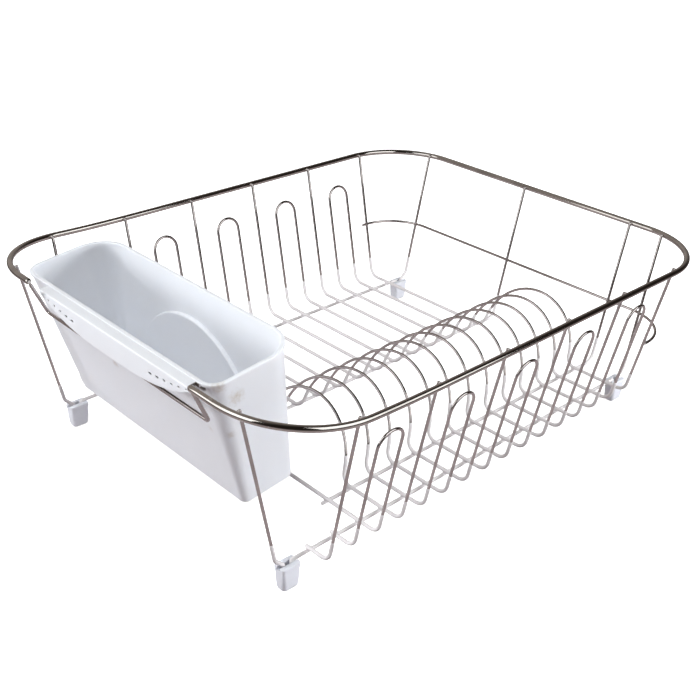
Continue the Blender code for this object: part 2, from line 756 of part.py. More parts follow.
def build():
    clear_scene()
    home = new_collection("dish_drainer")
    helpers = new_collection("cutters")
    chrome = plain_material("chrome", (0.62, 0.60, 0.58), 0.12, 1.0)
    dipped = plain_material("dipped_wire", (0.86, 0.86, 0.88), 0.30, 0.0)
    rubber = plain_material("foot_plastic", (0.84, 0.86, 0.89), 0.45, 0.0)
    plastic = plain_material("cup_plastic", (0.86, 0.89, 0.92), 0.35, 0.0)

    wire("rim", make_rim_path(), RIM_R, chrome, home)
    wire("cup_carrier", carrier_path(), CARRIER_R, chrome, home)
    wire("end_guard", guard_path(), WIRE_R, chrome, home)
    for side, where in ((-1, "front"), (1, "back")):
        wire("frame_wire_" + where, frame_path(side), WIRE_R, dipped, home, dipped=True)
        wire("cross_wire_01_" + where, corner_path(side), WIRE_R, dipped, home, dipped=True)
        for end, hand in ((-1, "left"), (1, "right")):
            make_foot("foot_" + where + "_" + hand, end, side, rubber, home, helpers)
    wire("floor_rod_middle", rod_path(MIDDLE_ROD_Y), WIRE_R, dipped, home, dipped=True)
    wire("floor_rod_front", rod_path(FRONT_ROD_Y), WIRE_R, dipped, home, dipped=True)
    wire("cross_wire_02_03", left_pair_path(), WIRE_R, dipped, home, dipped=True)
    for number in range(FIRST_ARCH_WIRE, WIRE_COUNT + 1, 3):
        name = "cross_wire_%02d" % number
        wire(name, single_path(number), WIRE_R, dipped, home, dipped=True)
    for number in range(FIRST_ARCH_WIRE + 1, WIRE_COUNT, 3):
        name = "cross_wire_%02d_%02d" % (number, number + 1)
        wire(name, loop_path(number), WIRE_R, dipped, home, dipped=True, closed=True)
    make_cup(plastic, home, helpers)


build()
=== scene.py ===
"""Dish drainer: the finished wires, dip coat, feet and cutlery cup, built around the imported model."""

import math

import bmesh
import bpy
from mathutils import Matrix, Quaternion, Vector


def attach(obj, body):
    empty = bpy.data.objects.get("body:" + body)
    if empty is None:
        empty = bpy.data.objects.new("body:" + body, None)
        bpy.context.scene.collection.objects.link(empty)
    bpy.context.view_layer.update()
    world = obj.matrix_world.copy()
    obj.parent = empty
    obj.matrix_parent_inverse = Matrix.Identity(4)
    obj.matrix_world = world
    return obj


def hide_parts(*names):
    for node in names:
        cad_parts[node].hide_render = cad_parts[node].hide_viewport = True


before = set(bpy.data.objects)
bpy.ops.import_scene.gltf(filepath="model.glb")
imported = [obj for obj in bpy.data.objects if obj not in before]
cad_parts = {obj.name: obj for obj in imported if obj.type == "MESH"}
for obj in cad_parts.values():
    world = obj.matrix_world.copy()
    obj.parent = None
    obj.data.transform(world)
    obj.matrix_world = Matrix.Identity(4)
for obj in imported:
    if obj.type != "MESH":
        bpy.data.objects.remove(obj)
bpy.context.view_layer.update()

# Sizes of the real drainer, in metres, as the model has them

SEAT_GAP = 0.0003
CUT_OVERRUN = 0.004

WIRE_R = 0.00125
COAT_R = 0.0016
RIM_R = 0.0025
CARRIER_R = 0.0015

WIRE_PITCH = 0.024
WIRE_COUNT = 16
FLOOR_Z = 0.0256
FLOOR_HALF_Y = 0.1637
FLOOR_BEND_R = 0.0103
COAT_TOP_Z = 0.0455
HAIRPIN_TOP_Z = 0.1297
TIP_LENGTH = 0.0018
SHORT_WIRE_TAIL = 0.003

ARCH_R = 0.0515
ARCH_CENTRE_Y = -0.0478
ARCH_CENTRE_H = 0.0027
ARCH_FOOT_R = 0.010
ARCH_LEAN = math.radians(19.1)
FIRST_ARCH_WIRE = 4
LAST_SHORT_WIRE = 2
SINGLE_EVERY = 3

FRAME_ROD_INSET = 0.022
ROD_LEAD = 0.0018
ROD_TAIL = 0.003
END_BAY = 0.029
END_BEND_R = 0.0103
GUARD_Z = 0.0805
GUARD_CORNER_R = 0.046
GUARD_TAIL = 0.004

RIM_OVERHANG = 0.0636
WALL_FLARE = 0.0301
RIM_Z = 0.1539
RIM_CORNER_R = 0.069
RIM_BACK_STRAIGHT = 0.0148
RIM_FRONT_STRAIGHT = 0.0278
OPEN_END_RISE = 0.0075
RISE_LENGTH = 0.179
RISE_CURVE = 3
CARRIER_INSET = 0.002
CARRIER_DROP = 0.0305
CARRIER_SET_IN = 0.0133
CARRIER_BEND_R = 0.0032

FOOT_BAY = 0.019
FOOT_HEIGHT = 0.0215
FOOT_HALF_X = 0.0085
FOOT_HALF_Y = 0.0058
FOOT_BASE_HALF_X = 0.0076
FOOT_BASE_HALF_Y = 0.0052
FOOT_CORNER_R = 0.0022
FOOT_COLLAR = 0.0042
FOOT_STEP = 0.0005
FOOT_EDGE = 0.0009
FOOT_FLOOR = 0.0075
LOOP_HALF_X = 0.0036
LOOP_BEND_R = 0.0034
LEG_TURN_Z = 0.029
LEG_TURN_R = 0.004
LEG_ENTRY_DROP = 0.0011
LEG_ENTRY_R = 0.0024

CUP_SHIFT_Y = 0.0139
CUP_LEAN = math.radians(6.9)
CUP_STAND_OFF = 0.0104
CUP_WALL = 0.0022
CUP_FLOOR = 0.0026
CUP_MOUTH_HALF_X = 0.0397
CUP_END_LAND = 0.0271
CUP_END_TAPER = 0.0118
CUP_MOUTH_INNER_R = 0.0295
CUP_MOUTH_OUTER_R = 0.014
CUP_BASE_HALF_X = 0.0250
CUP_BASE_R = 0.0072
CUP_BASE_SHIFT = 0.005
CUP_EDGE_R = 0.003
LIP_OUT = 0.0012
LIP_HEIGHT = 0.0032
LIP_EDGE = 0.0008
PANEL_R = 0.0755
PANEL_RISE = 0.0158
PANEL_SHIFT_Y = 0.004
PANEL_DEPTH = 0.0035
DRAIN_LENGTH = 0.022
DRAIN_WIDTH = 0.003
DRAIN_PITCH = 0.018
DRAIN_END_LAND = 0.016

HOOK_END_CLEAR = 0.004
HOOK_SHIFT_Y = 0.0095
HOOK_WALL = 0.0018
HOOK_REACH = 0.008
HOOK_RISE = 0.0198
HOOK_STEP = 0.0004
HOOK_EDGE = 0.0009
HOOK_MOUTH = 0.0034
HOOK_MOUTH_LAND = 0.0008
SKIRT_DROP = 0.019
SKIRT_END_DROP = 0.0032
SKIRT_CURVE = 3
JOIN_DEPTH = 0.0012
HOOK_RIB_WIDTH = 0.0022
HOOK_RIB_SPREAD = 0.034
HOOK_RIB_COUNT = 3
VENT_END_INSET = 0.0045
VENT_PITCH = 0.0086
VENT_LENGTH = 0.0042
VENT_HEIGHT = 0.0019
VENT_SIZE_SHARES = (1.0, 0.93, 0.84, 0.74, 0.64, 0.54)
VENT_DEPTH_SHARE = 0.56

# Places that follow from the sizes

OUTER_WIRE_X = WIRE_PITCH * (WIRE_COUNT - 1) / 2
FRAME_ROD_Y = FLOOR_HALF_Y - FRAME_ROD_INSET
RIM_HALF_X = OUTER_WIRE_X + RIM_OVERHANG
RIM_HALF_Y = FLOOR_HALF_Y + WALL_FLARE
RIM_END_BACK_Y = RIM_HALF_Y - RIM_CORNER_R - RIM_BACK_STRAIGHT
RIM_END_FRONT_Y = RIM_CORNER_R + RIM_FRONT_STRAIGHT - RIM_HALF_Y
END_FOOT_X = OUTER_WIRE_X + END_BAY
FOOT_X = OUTER_WIRE_X + FOOT_BAY
ROD_Z = FLOOR_Z - 2 * COAT_R - SEAT_GAP
WIRE_TO_RIM = RIM_R + WIRE_R + SEAT_GAP
WIRE_TO_WIRE = 2 * WIRE_R + SEAT_GAP
ARCH_FOOT_SPREAD = math.sqrt((ARCH_R + ARCH_FOOT_R) ** 2 - (ARCH_FOOT_R - ARCH_CENTRE_H) ** 2)
MIDDLE_ROD_Y = ARCH_CENTRE_Y + ARCH_FOOT_SPREAD + ROD_LEAD
FRONT_ROD_Y = ARCH_CENTRE_Y - ARCH_FOOT_SPREAD + ROD_LEAD
ROD_PLACES_Y = (-FRAME_ROD_Y, FRONT_ROD_Y, MIDDLE_ROD_Y, FRAME_ROD_Y)
HAIRPIN_R = WIRE_PITCH / 2
HOOK_HALF_Y = (RIM_END_BACK_Y - RIM_END_FRONT_Y) / 2 - HOOK_END_CLEAR
HOOK_MIDDLE_Y = (RIM_END_BACK_Y + RIM_END_FRONT_Y) / 2 + HOOK_SHIFT_Y
HOOK_TOP_Z = RIM_Z + OPEN_END_RISE - CARRIER_DROP + HOOK_RISE
CUP_MOUTH_HALF_Y = HOOK_HALF_Y + CUP_END_LAND
CUP_BASE_HALF_Y = CUP_MOUTH_HALF_Y - CUP_END_TAPER
CUP_MOUTH_REACH = HOOK_REACH + CUP_MOUTH_HALF_X * math.cos(CUP_LEAN)
CUP_MOUTH_Z = HOOK_TOP_Z + CUP_MOUTH_REACH * math.tan(CUP_LEAN)
CUP_HEIGHT = (CUP_MOUTH_Z - FLOOR_Z - CUP_STAND_OFF) / math.cos(CUP_LEAN)

# How fine the finished meshes are, and how their edges and cut ends are rounded

ARC_STEP = math.radians(7.5)
WIDE_ARC_STEP = math.radians(5)
RIM_ARC_STEP = math.radians(3)
WIRE_SIDES = 16
RIM_SIDES = 32
TIP_STEPS = 4
COAT_SPACING = 0.004
RIM_SPACING = 0.012
CORNER_STEPS = 18
CUP_RUN_CUTS = (6, 20)
CUP_WALL_RINGS = 22
FOOT_CORNER_STEPS = 8
FOOT_BASE_ROUND = 0.0030
FOOT_BASE_CORNER_R = 0.0036
FOOT_BASE_STEPS = 6
FOOT_WALL_STEPS = 5
FOOT_BULGE = 0.0003
FOOT_LEAST_R = 0.0005
FOOT_SHARP = math.radians(40)
CUP_EDGE_STEPS = 6
CUP_SHARP = math.radians(38)
LIP_SHARES = ((1, 0), (0.4, 0.15), (0, 0.6))
SKIRT_STEPS = 40
PANEL_SIDES = 180
PANEL_EDGE = 0.0012
VENT_SIDES = 20
SLOT_END_SHARE = 0.49
EDGE_STEPS = 4
SLIVER = 0.00001
FLAT_WEIGHT = 80

# Least share of the radius that each kind of wire keeps at its rounded ends

THIN_END = 0.05
CARRIER_END = 0.5
RIM_END = 0.55
COAT_END = 0.6

# Unevenness of the coat, and weld beads as radius and stretch

COAT_SWELL = 0.14
COAT_SWELL_SCALE = 60.0
RIM_BEAD = (0.0011, 1.7)
SMALL_BEAD = (0.0009, 1.3)
COAT_BEAD = (0.0017, 1.25)
BEAD_SPREAD = 0.15
BEAD_SEED = 3
BEAD_FINENESS = 3

# Patterns: scales for each metre, and the spans of noise that turn into marks

SPOT_SCALE = 240.0
SPOT_AMOUNT = 0.6
SPOT_SPAN = (0.78, 0.8)
HAZE_SCALE = 38.0
HAZE_SPAN = (0.35, 0.7)
LINE_SCALE = 5.0
LINE_STRETCH = 30.0
GRAIN_SCALE = 1500.0
GRAIN_SHARE = 0.08
SWELL_SCALE = 22.0
SCUFF_SCALE = 90.0
SCUFF_STRETCH = (1, 0.35, 7)
SCUFF_SPAN = (0.80, 0.86)
AMOUNT_REACH = 0.2
TONE_SCALE = 9.0
STAIN_SCALE = 420.0

# Plating: tint, and roughness where it is clean and where it is spotted

THIN_CHROME = ((0.60, 0.55, 0.535), 0.04, 0.13)
HEAVY_CHROME = ((0.60, 0.555, 0.52), 0.07, 0.20)
HAZE_SHARE = 0.80
HAZE_DULLS = 0.5
SPOT_COLOUR = (0.70, 0.69, 0.67)
LINE_DEPTH = 0.00001
LINE_STRENGTH = 0.35

# Plastics: base, worn colour, roughness, depth of grain, scuffs, and share and reach of the light let through

DIP_WHITE = ((0.78, 0.75, 0.755), (0.68, 0.65, 0.63), 0.30, 0.00025, 0.35, 0.1, 0.001)
FOOT_WHITE = ((0.76, 0.775, 0.83), (0.66, 0.66, 0.69), 0.38, 0.00012, 0.4, 0.25, 0.003)
CUP_WHITE = ((0.862, 0.884, 0.932), (0.76, 0.73, 0.69), 0.36, 0.0006, 0.55, 0.45, 0.006)
DRIFT_SHARE = 0.965
SOFT_RADII = (1.0, 0.95, 0.9)
SCUFF_ROUGHNESS = 0.16
GRAIN_STRENGTH = 0.6

# Marks on the cup: painted shade, near black, in the hook's channel and its open end, and stains as centre,
# reach and strength

# Painted shade: a near-black colour for the hook's channel, vents and open end where they lie in shadow, and
# the box that holds it
PAINTED_CHANNEL_SHADE = (0.07, 0.055, 0.045)
SHADE_BOX_INSET = 0.0003
SHADE_BOX_DEPTH = 0.0117
SHADE_BOX_PAST_END = 0.0030
SHADE_BOX_OVER = 0.0006
SHADE_BOX_OVER_TOP = 0.0016
SHADE_BOX_SOFT = 0.0008
STAIN = (0.42, 0.33, 0.22)
STAIN_FADE = 1.35
STAINS = (
    ((-0.2035, -0.0955, 0.1365), 0.0115, 0.90),
    ((-0.2185, -0.0945, 0.1492), 0.0105, 0.80),
    ((-0.2065, -0.0905, 0.1050), 0.0065, 0.60),
    ((-0.2132, -0.0730, 0.1040), 0.0055, 0.60),
    ((-0.2121, 0.0497, 0.1042), 0.0065, 0.85),
)

# Studio: the floor as the camera sees it, as it lights matt surfaces and as the plating mirrors it

BLACK = (0, 0, 0)
FLOOR_HALF = 12
FLOOR_CUTS = 8
FLOOR_GLOW = (0.85, 0.85, 0.85)
FLOOR_PALE = (0.90, 0.90, 0.90)
FLOOR_BOUNCE = (0.30, 0.25, 0.26)
FLOOR_GREY = (0.50, 0.45, 0.465)
FLOOR_DARK = (0.05, 0.042, 0.038)
FLOOR_NEAR = 0.20
FLOOR_FAR = 1.2
MATT = 0.9
BACKDROP_R = 10.0
BACKDROP_HEIGHT = 12.0
BACKDROP_SINK = 0.5
BACKDROP_SIDES = 96
BACKDROP_PALE = (0.93, 0.93, 0.93)
ROOM_DARK = (0.018, 0.014, 0.011)
ROOM_PALE = (0.36, 0.33, 0.31)
ROOM_PALE_SIDE = (-0.087, 0.996, 0.0)
ROOM_PALE_SPAN = (-0.3, 0.9)

# Lamps: name, place, aim, size, power in watts, colour, and whether it is only mirrored or only lights

LAMPS = (
    ("left_softbox", (-0.78, 0.21, 0.64), (0, 0.21, 0.54), (0.83, 0.80), 4.3, (0.95, 0.985, 1.0), True),
    ("right_softbox", (0.065, -0.64, 0.64), (0.065, 0, 0.54), (0.83, 0.80), 4.4, (0.95, 0.985, 1.0), True),
    ("left_fill", (-1.53, 0.95, 0.40), (-0.2, 0, 0.10), (0.9, 0.5), 20, (0.95, 0.98, 1.0), False),
    ("right_fill", (0.95, -1.53, 0.40), (-0.2, 0, 0.10), (0.9, 0.5), 37, (0.95, 0.98, 1.0), False),
    ("top_softbox", (-1.05, -0.20, 1.8), (-0.1, 0, 0.05), (1.3, 1.3), 29, (0.97, 0.99, 1.0), False),
)

# The photo's camera: its lens, its place, and its axes to the right, up and ahead

CAMERA_SENSOR = 36
CAMERA_LENS = 54.59
CAMERA_REACH = 100
CAMERA_PLACE = (-0.5754, -0.5887, 0.5089)
CAMERA_AXES = ((0.7297, -0.6832, 0.0271), (0.3086, 0.3645, 0.8786), (0.6101, 0.6328, -0.4768))


# Scene helpers

def link_object(name, data):
    made = bpy.data.objects.new(name, data)
    bpy.context.scene.collection.objects.link(made)
    return made


def evaluated_mesh(source):
    """New mesh of an object as its modifiers leave it."""
    bpy.context.view_layer.update()
    graph = bpy.context.evaluated_depsgraph_get()
    return bpy.data.meshes.new_from_object(source.evaluated_get(graph), depsgraph=graph)


def finished_mesh(source, name):
    """Plain mesh object from an object and its modifiers, placed in its mesh; the source is removed."""
    data = evaluated_mesh(source)
    data.transform(source.matrix_world)
    data.name = name
    bpy.data.objects.remove(source, do_unlink=True)
    return link_object(name, data)


def with_nodes(source, group, inputs):
    """Gives the object a Geometry Nodes modifier with these named inputs."""
    step = source.modifiers.new(group.name, "NODES")
    step.node_group = group
    for item in group.interface.items_tree:
        if item.in_out == "INPUT" and item.name in inputs:
            step[item.identifier] = inputs[item.name]


# Node trees

class Graph:
    """Short ways to add and join the nodes of a tree."""

    def __init__(self, tree):
        self.tree = tree

    def join(self, given, socket):
        """Sets a socket to a value, or links it to another socket or to a node's first output."""
        if isinstance(given, bpy.types.Node):
            given = next(s for s in given.outputs if s.enabled)
        if isinstance(given, bpy.types.NodeSocket):
            self.tree.links.new(given, socket)
        elif socket.type == "RGBA":
            socket.default_value = (*given, 1.0)
        else:
            socket.default_value = given

    def add(self, kind, settings=None, **inputs):
        """Adds a node; inputs are values or other nodes' outputs, by socket name."""
        node = self.tree.nodes.new(kind)
        for key, setting in (settings or {}).items():
            setattr(node, key, setting)
        for title, given in inputs.items():
            self.join(given, next(s for s in node.inputs if s.enabled and s.name == title.replace("_", " ")))
        return node

    def maths(self, operation, first, second):
        return self.operate("ShaderNodeMath", operation, first, second)

    def vectors(self, operation, *given):
        return self.operate("ShaderNodeVectorMath", operation, *given)

    def operate(self, kind, operation, *given):
        """Adds a node of maths on numbers or vectors, joined to its inputs in turn."""
        node = self.add(kind, {"operation": operation})
        for value, socket in zip(given, node.inputs):
            self.join(value, socket)
        return node

    def mix(self, share, first, second):
        """Colour that goes from the first to the second with the share."""
        return self.add("ShaderNodeMix", {"data_type": "RGBA"}, Factor=share, A=first, B=second)

    def ramp(self, given, low, high):
        """0 below low and 1 above high, smoothly between."""
        settings = {"interpolation_type": "SMOOTHSTEP"}
        return self.add("ShaderNodeMapRange", settings, Value=given, From_Min=low, From_Max=high)

    def place(self):
        return self.add("ShaderNodeTexCoord").outputs["Object"]


class Group(Graph):
    """A node group under construction, with named inputs and outputs."""

    def __init__(self, name, kind, inputs, outputs):
        super().__init__(bpy.data.node_groups.new(name, kind))
        for title, sort, value in inputs:
            socket = self.tree.interface.new_socket(title, in_out="INPUT", socket_type="NodeSocket" + sort)
            if value is not None:
                socket.default_value = value
        for title, sort in outputs:
            self.tree.interface.new_socket(title, in_out="OUTPUT", socket_type="NodeSocket" + sort)
        self.given = self.add("NodeGroupInput").outputs
        self.leave = self.add("NodeGroupOutput")

    def out(self, **values):
        for title, given in values.items():
            self.join(given, self.leave.inputs[title])
        return self.tree


class Tree(Group):
    """A Geometry Nodes tree that ends in real geometry with its material."""

    def __init__(self, name, inputs):
        inputs = [("Geometry", "Geometry", None), *inputs, ("Material", "Material", None)]
        super().__init__(name, "GeometryNodeTree", inputs, [("Geometry", "Geometry")])

    def named(self, title, kind="FLOAT_VECTOR"):
        """Value of a named attribute."""
        return self.add("GeometryNodeInputNamedAttribute", {"data_type": kind}, Name=title)

    def store(self, geometry, title, kind, value):
        """The geometry with a named attribute on its points."""
        return self.add(
            "GeometryNodeStoreNamedAttribute", {"data_type": kind, "domain": "POINT"},
            Geometry=geometry, Name=title, Value=value)

    def on_points(self, instance, turn, scale):
        return self.add(
            "GeometryNodeInstanceOnPoints", Points=self.given["Geometry"], Instance=instance,
            Rotation=turn, Scale=scale)

    def finish(self, geometry, smooth=True):
        if smooth:
            geometry = self.add("GeometryNodeSetShadeSmooth", Geometry=geometry, Shade_Smooth=True)
        real = self.add("GeometryNodeRealizeInstances", Geometry=geometry)
        painted = self.add("GeometryNodeSetMaterial", Geometry=real, Material=self.given["Material"])
        return self.out(Geometry=painted)


def round_wire_tree():
    """Sweeps a circle along every path of a curve, with a slight unevenness in its thickness."""
    tree = Tree("round_wire", [
        ("Wire radius", "Float", WIRE_R),
        ("Sides", "Int", WIRE_SIDES),
        ("Unevenness", "Float", 0.0),
        ("Unevenness scale", "Float", COAT_SWELL_SCALE),
    ])
    noise = tree.add("ShaderNodeTexNoise", Scale=tree.given["Unevenness scale"], Detail=1.0)
    swing = tree.maths("SUBTRACT", noise, 0.5)
    share = tree.maths("ADD", tree.maths("MULTIPLY", swing, tree.given["Unevenness"]), 1.0)
    thickness = tree.maths("MULTIPLY", share, tree.add("GeometryNodeInputRadius"))
    along = tree.add("GeometryNodeSplineParameter").outputs["Length"]
    marked = tree.store(tree.given["Geometry"], "wire_along", "FLOAT", along)
    circle = tree.add(
        "GeometryNodeCurvePrimitiveCircle", Resolution=tree.given["Sides"], Radius=tree.given["Wire radius"])
    profile = tree.store(circle, "wire_around", "FLOAT_VECTOR", tree.add("GeometryNodeInputPosition"))
    return tree.finish(tree.add(
        "GeometryNodeCurveToMesh", Curve=marked, Profile_Curve=profile, Scale=thickness, Fill_Caps=True))


def beads_tree():
    """Puts a rounded bead on every point, drawn out along the point's own direction."""
    tree = Tree("weld_beads", [
        ("Bead radius", "Float", RIM_BEAD[0]),
        ("Bead stretch", "Float", RIM_BEAD[1]),
        ("Size spread", "Float", BEAD_SPREAD),
        ("Seed", "Int", BEAD_SEED),
    ])
    ball = tree.add(
        "GeometryNodeMeshIcoSphere", Radius=tree.given["Bead radius"], Subdivisions=BEAD_FINENESS)
    turn = tree.add("FunctionNodeAlignRotationToVector", {"axis": "Z"}, Vector=tree.named("bead_axis"))
    low = tree.maths("SUBTRACT", 1.0, tree.given["Size spread"])
    high = tree.maths("ADD", 1.0, tree.given["Size spread"])
    size = tree.add(
        "FunctionNodeRandomValue", {"data_type": "FLOAT"}, Min=low, Max=high, Seed=tree.given["Seed"])
    long = tree.maths("MULTIPLY", size, tree.given["Bead stretch"])
    scale = tree.add("ShaderNodeCombineXYZ", X=size, Y=size, Z=long)
    return tree.finish(tree.on_points(ball, turn, scale))


def slots_tree():
    """Puts a round-ended slot cutter on every point, scaled by the point's own size."""
    tree = Tree("slot_cutters", [
        ("Slot length", "Float", DRAIN_LENGTH),
        ("Slot width", "Float", DRAIN_WIDTH),
        ("Slot depth", "Float", 2 * CUT_OVERRUN),
        ("Turn", "Rotation", None),
    ])
    length, width, depth = (tree.given["Slot " + side] for side in ("length", "width", "depth"))
    outline = tree.add("GeometryNodeCurvePrimitiveQuadrilateral", Width=length, Height=width)
    half = tree.maths("MULTIPLY", width, SLOT_END_SHARE)
    rounded = tree.add(
        "GeometryNodeFilletCurve", {"mode": "POLY"}, Curve=outline, Radius=half, Limit_Radius=True)
    next(s for s in rounded.inputs if s.name == "Count").default_value = VENT_SIDES // 4
    face = tree.add("GeometryNodeFillCurve", {"mode": "NGONS"}, Curve=rounded)
    back = tree.add("GeometryNodeFlipFaces", Mesh=face)
    block = tree.add(
        "GeometryNodeExtrudeMesh", {"mode": "FACES"}, Mesh=face, Offset_Scale=depth, Individual=False)
    both = tree.add("GeometryNodeJoinGeometry")
    for part in (block, back):
        tree.join(part, both.inputs[0])
    closed = tree.add("GeometryNodeMergeByDistance", Geometry=both, Distance=SLIVER)
    shift = tree.add("ShaderNodeCombineXYZ", Z=tree.maths("MULTIPLY", depth, -0.5))
    centred = tree.add("GeometryNodeSetPosition", Geometry=closed, Offset=shift)
    size = tree.named("size_share", "FLOAT")
    scale = tree.add("ShaderNodeCombineXYZ", X=size, Y=size, Z=1.0)
    return tree.finish(tree.on_points(centred, tree.given["Turn"], scale), smooth=False)


# Shader node groups

class Effect(Group):
    """A shader node group under construction, that works on Object coordinates."""

    def __init__(self, name, inputs, outputs):
        super().__init__(name, "ShaderNodeTree", inputs, [(title, "Float") for title in outputs])
        self.here = self.place()

    def noise(self, scale, detail=3.0, rough=0.5, stretch=(1, 1, 1)):
        spread = self.add("ShaderNodeMapping", Vector=self.here, Scale=stretch)
        return self.add("ShaderNodeTexNoise", Vector=spread, Scale=scale, Detail=detail, Roughness=rough)

    def marks(self, noise, span, amount):
        """Where the noise passes a span, whose lower end comes down with the named amount."""
        fall = self.maths("MULTIPLY", self.given[amount], AMOUNT_REACH)
        return self.ramp(noise, self.maths("SUBTRACT", span[0], fall), span[1])


def water_marks():
    """Dried spots and a faint haze that water leaves on plated wire."""
    effect = Effect("water_marks", [
        ("Spot scale", "Float", SPOT_SCALE), ("Spot amount", "Float", SPOT_AMOUNT),
    ], ["Spots", "Haze"])
    dots = effect.noise(effect.given["Spot scale"], detail=2.0)
    return effect.out(
        Spots=effect.marks(dots, SPOT_SPAN, "Spot amount"),
        Haze=effect.ramp(effect.noise(HAZE_SCALE), *HAZE_SPAN))


def draw_lines():
    """Fine lines along a drawn wire, as a height: they change round the wire and hardly along it."""
    effect = Effect("draw_lines", [
        ("Line scale", "Float", LINE_SCALE), ("Line stretch", "Float", LINE_STRETCH),
    ], ["Height"])
    around = effect.add("ShaderNodeAttribute", {"attribute_name": "wire_around"}).outputs["Vector"]
    along = effect.add("ShaderNodeAttribute", {"attribute_name": "wire_along"}).outputs["Fac"]
    x, y, _ = effect.add("ShaderNodeSeparateXYZ", Vector=around).outputs
    stretched = effect.maths("MULTIPLY", along, effect.given["Line stretch"])
    place = effect.add("ShaderNodeCombineXYZ", X=x, Y=y, Z=stretched)
    return effect.out(Height=effect.add("ShaderNodeTexNoise", Vector=place, Scale=effect.given["Line scale"]))


def moulded_grain():
    """Fine moulded grain with the slow swell of a shrunk wall, and where light scuffs fall."""
    effect = Effect("moulded_grain", [
        ("Grain scale", "Float", GRAIN_SCALE),
        ("Swell scale", "Float", SWELL_SCALE),
        ("Scuff amount", "Float", 0.5),
    ], ["Height", "Scuffs", "Tone"])
    fine = effect.noise(effect.given["Grain scale"], detail=2.0)
    swell = effect.noise(effect.given["Swell scale"], detail=1.0)
    hairs = effect.noise(SCUFF_SCALE, detail=4.0, rough=0.7, stretch=SCUFF_STRETCH)
    return effect.out(
        Height=effect.maths("ADD", effect.maths("MULTIPLY", fine, GRAIN_SHARE), swell),
        Scuffs=effect.marks(hairs, SCUFF_SPAN, "Scuff amount"),
        Tone=effect.noise(TONE_SCALE))


def crevice():
    """Painted shade inside a box with soft sides: the share of a dark colour that stands in for the shadow in
    a hollow.
    """
    effect = Effect("crevice", [
        ("Low corner", "Vector", (0, 0, 0)),
        ("High corner", "Vector", (1, 1, 1)),
        ("Soft side", "Float", SHADE_BOX_SOFT),
    ], ["Share"])
    # Painted shade: the share is 1 inside the box and falls to 0 over its soft sides
    past_low = effect.vectors("SUBTRACT", effect.here, effect.given["Low corner"])
    to_high = effect.vectors("SUBTRACT", effect.given["High corner"], effect.here)
    inside = effect.vectors("MINIMUM", past_low, to_high)
    x, y, z = (
        effect.ramp(side, 0.0, effect.given["Soft side"])
        for side in effect.add("ShaderNodeSeparateXYZ", Vector=inside).outputs)
    return effect.out(Share=effect.maths("MULTIPLY", effect.maths("MULTIPLY", x, y), z))


def stain():
    """One ragged tea-coloured stain round a centre."""
    effect = Effect("stain", [
        ("Centre", "Vector", (0, 0, 0)), ("Reach", "Float", 0.006), ("Strength", "Float", 0.6),
    ], ["Share"])
    apart = effect.vectors("DISTANCE", effect.here, effect.given["Centre"])
    reach = effect.given["Reach"]
    ragged = effect.maths("MULTIPLY", effect.noise(STAIN_SCALE, detail=4.0, rough=0.65), reach)
    distance = effect.maths("ADD", apart, ragged)
    fade = effect.ramp(distance, 0.0, effect.maths("MULTIPLY", reach, STAIN_FADE))
    left = effect.maths("SUBTRACT", 1.0, fade)
    return effect.out(Share=effect.maths("MULTIPLY", left, effect.given["Strength"]))


# Materials

class Material(Graph):
    """A material under construction, round its one Principled shader."""

    def __init__(self, name):
        self.made = bpy.data.materials.new(name)
        self.made.use_nodes = True
        super().__init__(self.made.node_tree)
        self.shader = self.tree.nodes["Principled BSDF"]

    def set(self, **inputs):
        for title, given in inputs.items():
            self.join(given, self.shader.inputs[title.replace("_", " ")])

    def effect(self, group, **inputs):
        """Outputs of a shader node group placed with its own values."""
        return self.add("ShaderNodeGroup", {"node_tree": group}, **inputs).outputs

    def between(self, share, low, high):
        return self.add("ShaderNodeMapRange", Value=share, To_Min=low, To_Max=high)

    def bump(self, height, depth, strength):
        return self.add("ShaderNodeBump", Strength=strength, Distance=depth, Height=height)


def chrome(name, marks, lines, tint, rough_low, rough_high):
    """Bright plating over drawn wire, a little hazy and spotted where water has dried."""
    look = Material(name)
    spots = look.effect(marks)
    hazy = look.mix(spots["Haze"], tint, [c * HAZE_SHARE for c in tint])
    dull = look.maths("MAXIMUM", spots["Spots"], look.maths("MULTIPLY", spots["Haze"], HAZE_DULLS))
    look.set(
        Metallic=1.0,
        Base_Color=look.mix(spots["Spots"], hazy, SPOT_COLOUR),
        Roughness=look.between(dull, rough_low, rough_high),
        Normal=look.bump(look.effect(lines)["Height"], LINE_DEPTH, LINE_STRENGTH))
    return look.made


def plastic(name, grain, base, worn, roughness, depth, scuff, soft, soft_reach, layers=()):
    """Moulded or dipped plastic: a base colour that drifts a little, grain, swell and light scuffs."""
    look = Material(name)
    skin = look.effect(grain, Scuff_amount=scuff)
    toned = look.mix(skin["Tone"], base, [c * DRIFT_SHARE for c in base])
    colour = look.mix(skin["Scuffs"], toned, worn)
    for group, tint, inputs in layers:
        colour = look.mix(look.effect(group, **inputs)["Share"], colour, tint)
    look.set(
        Subsurface_Weight=soft,
        Subsurface_Radius=SOFT_RADII,
        Subsurface_Scale=soft_reach,
        Base_Color=colour,
        Roughness=look.between(skin["Scuffs"], roughness, roughness + SCUFF_ROUGHNESS),
        Normal=look.bump(skin["Height"], depth, GRAIN_STRENGTH))
    return look.made


# Paths, as the model has them, at finer steps

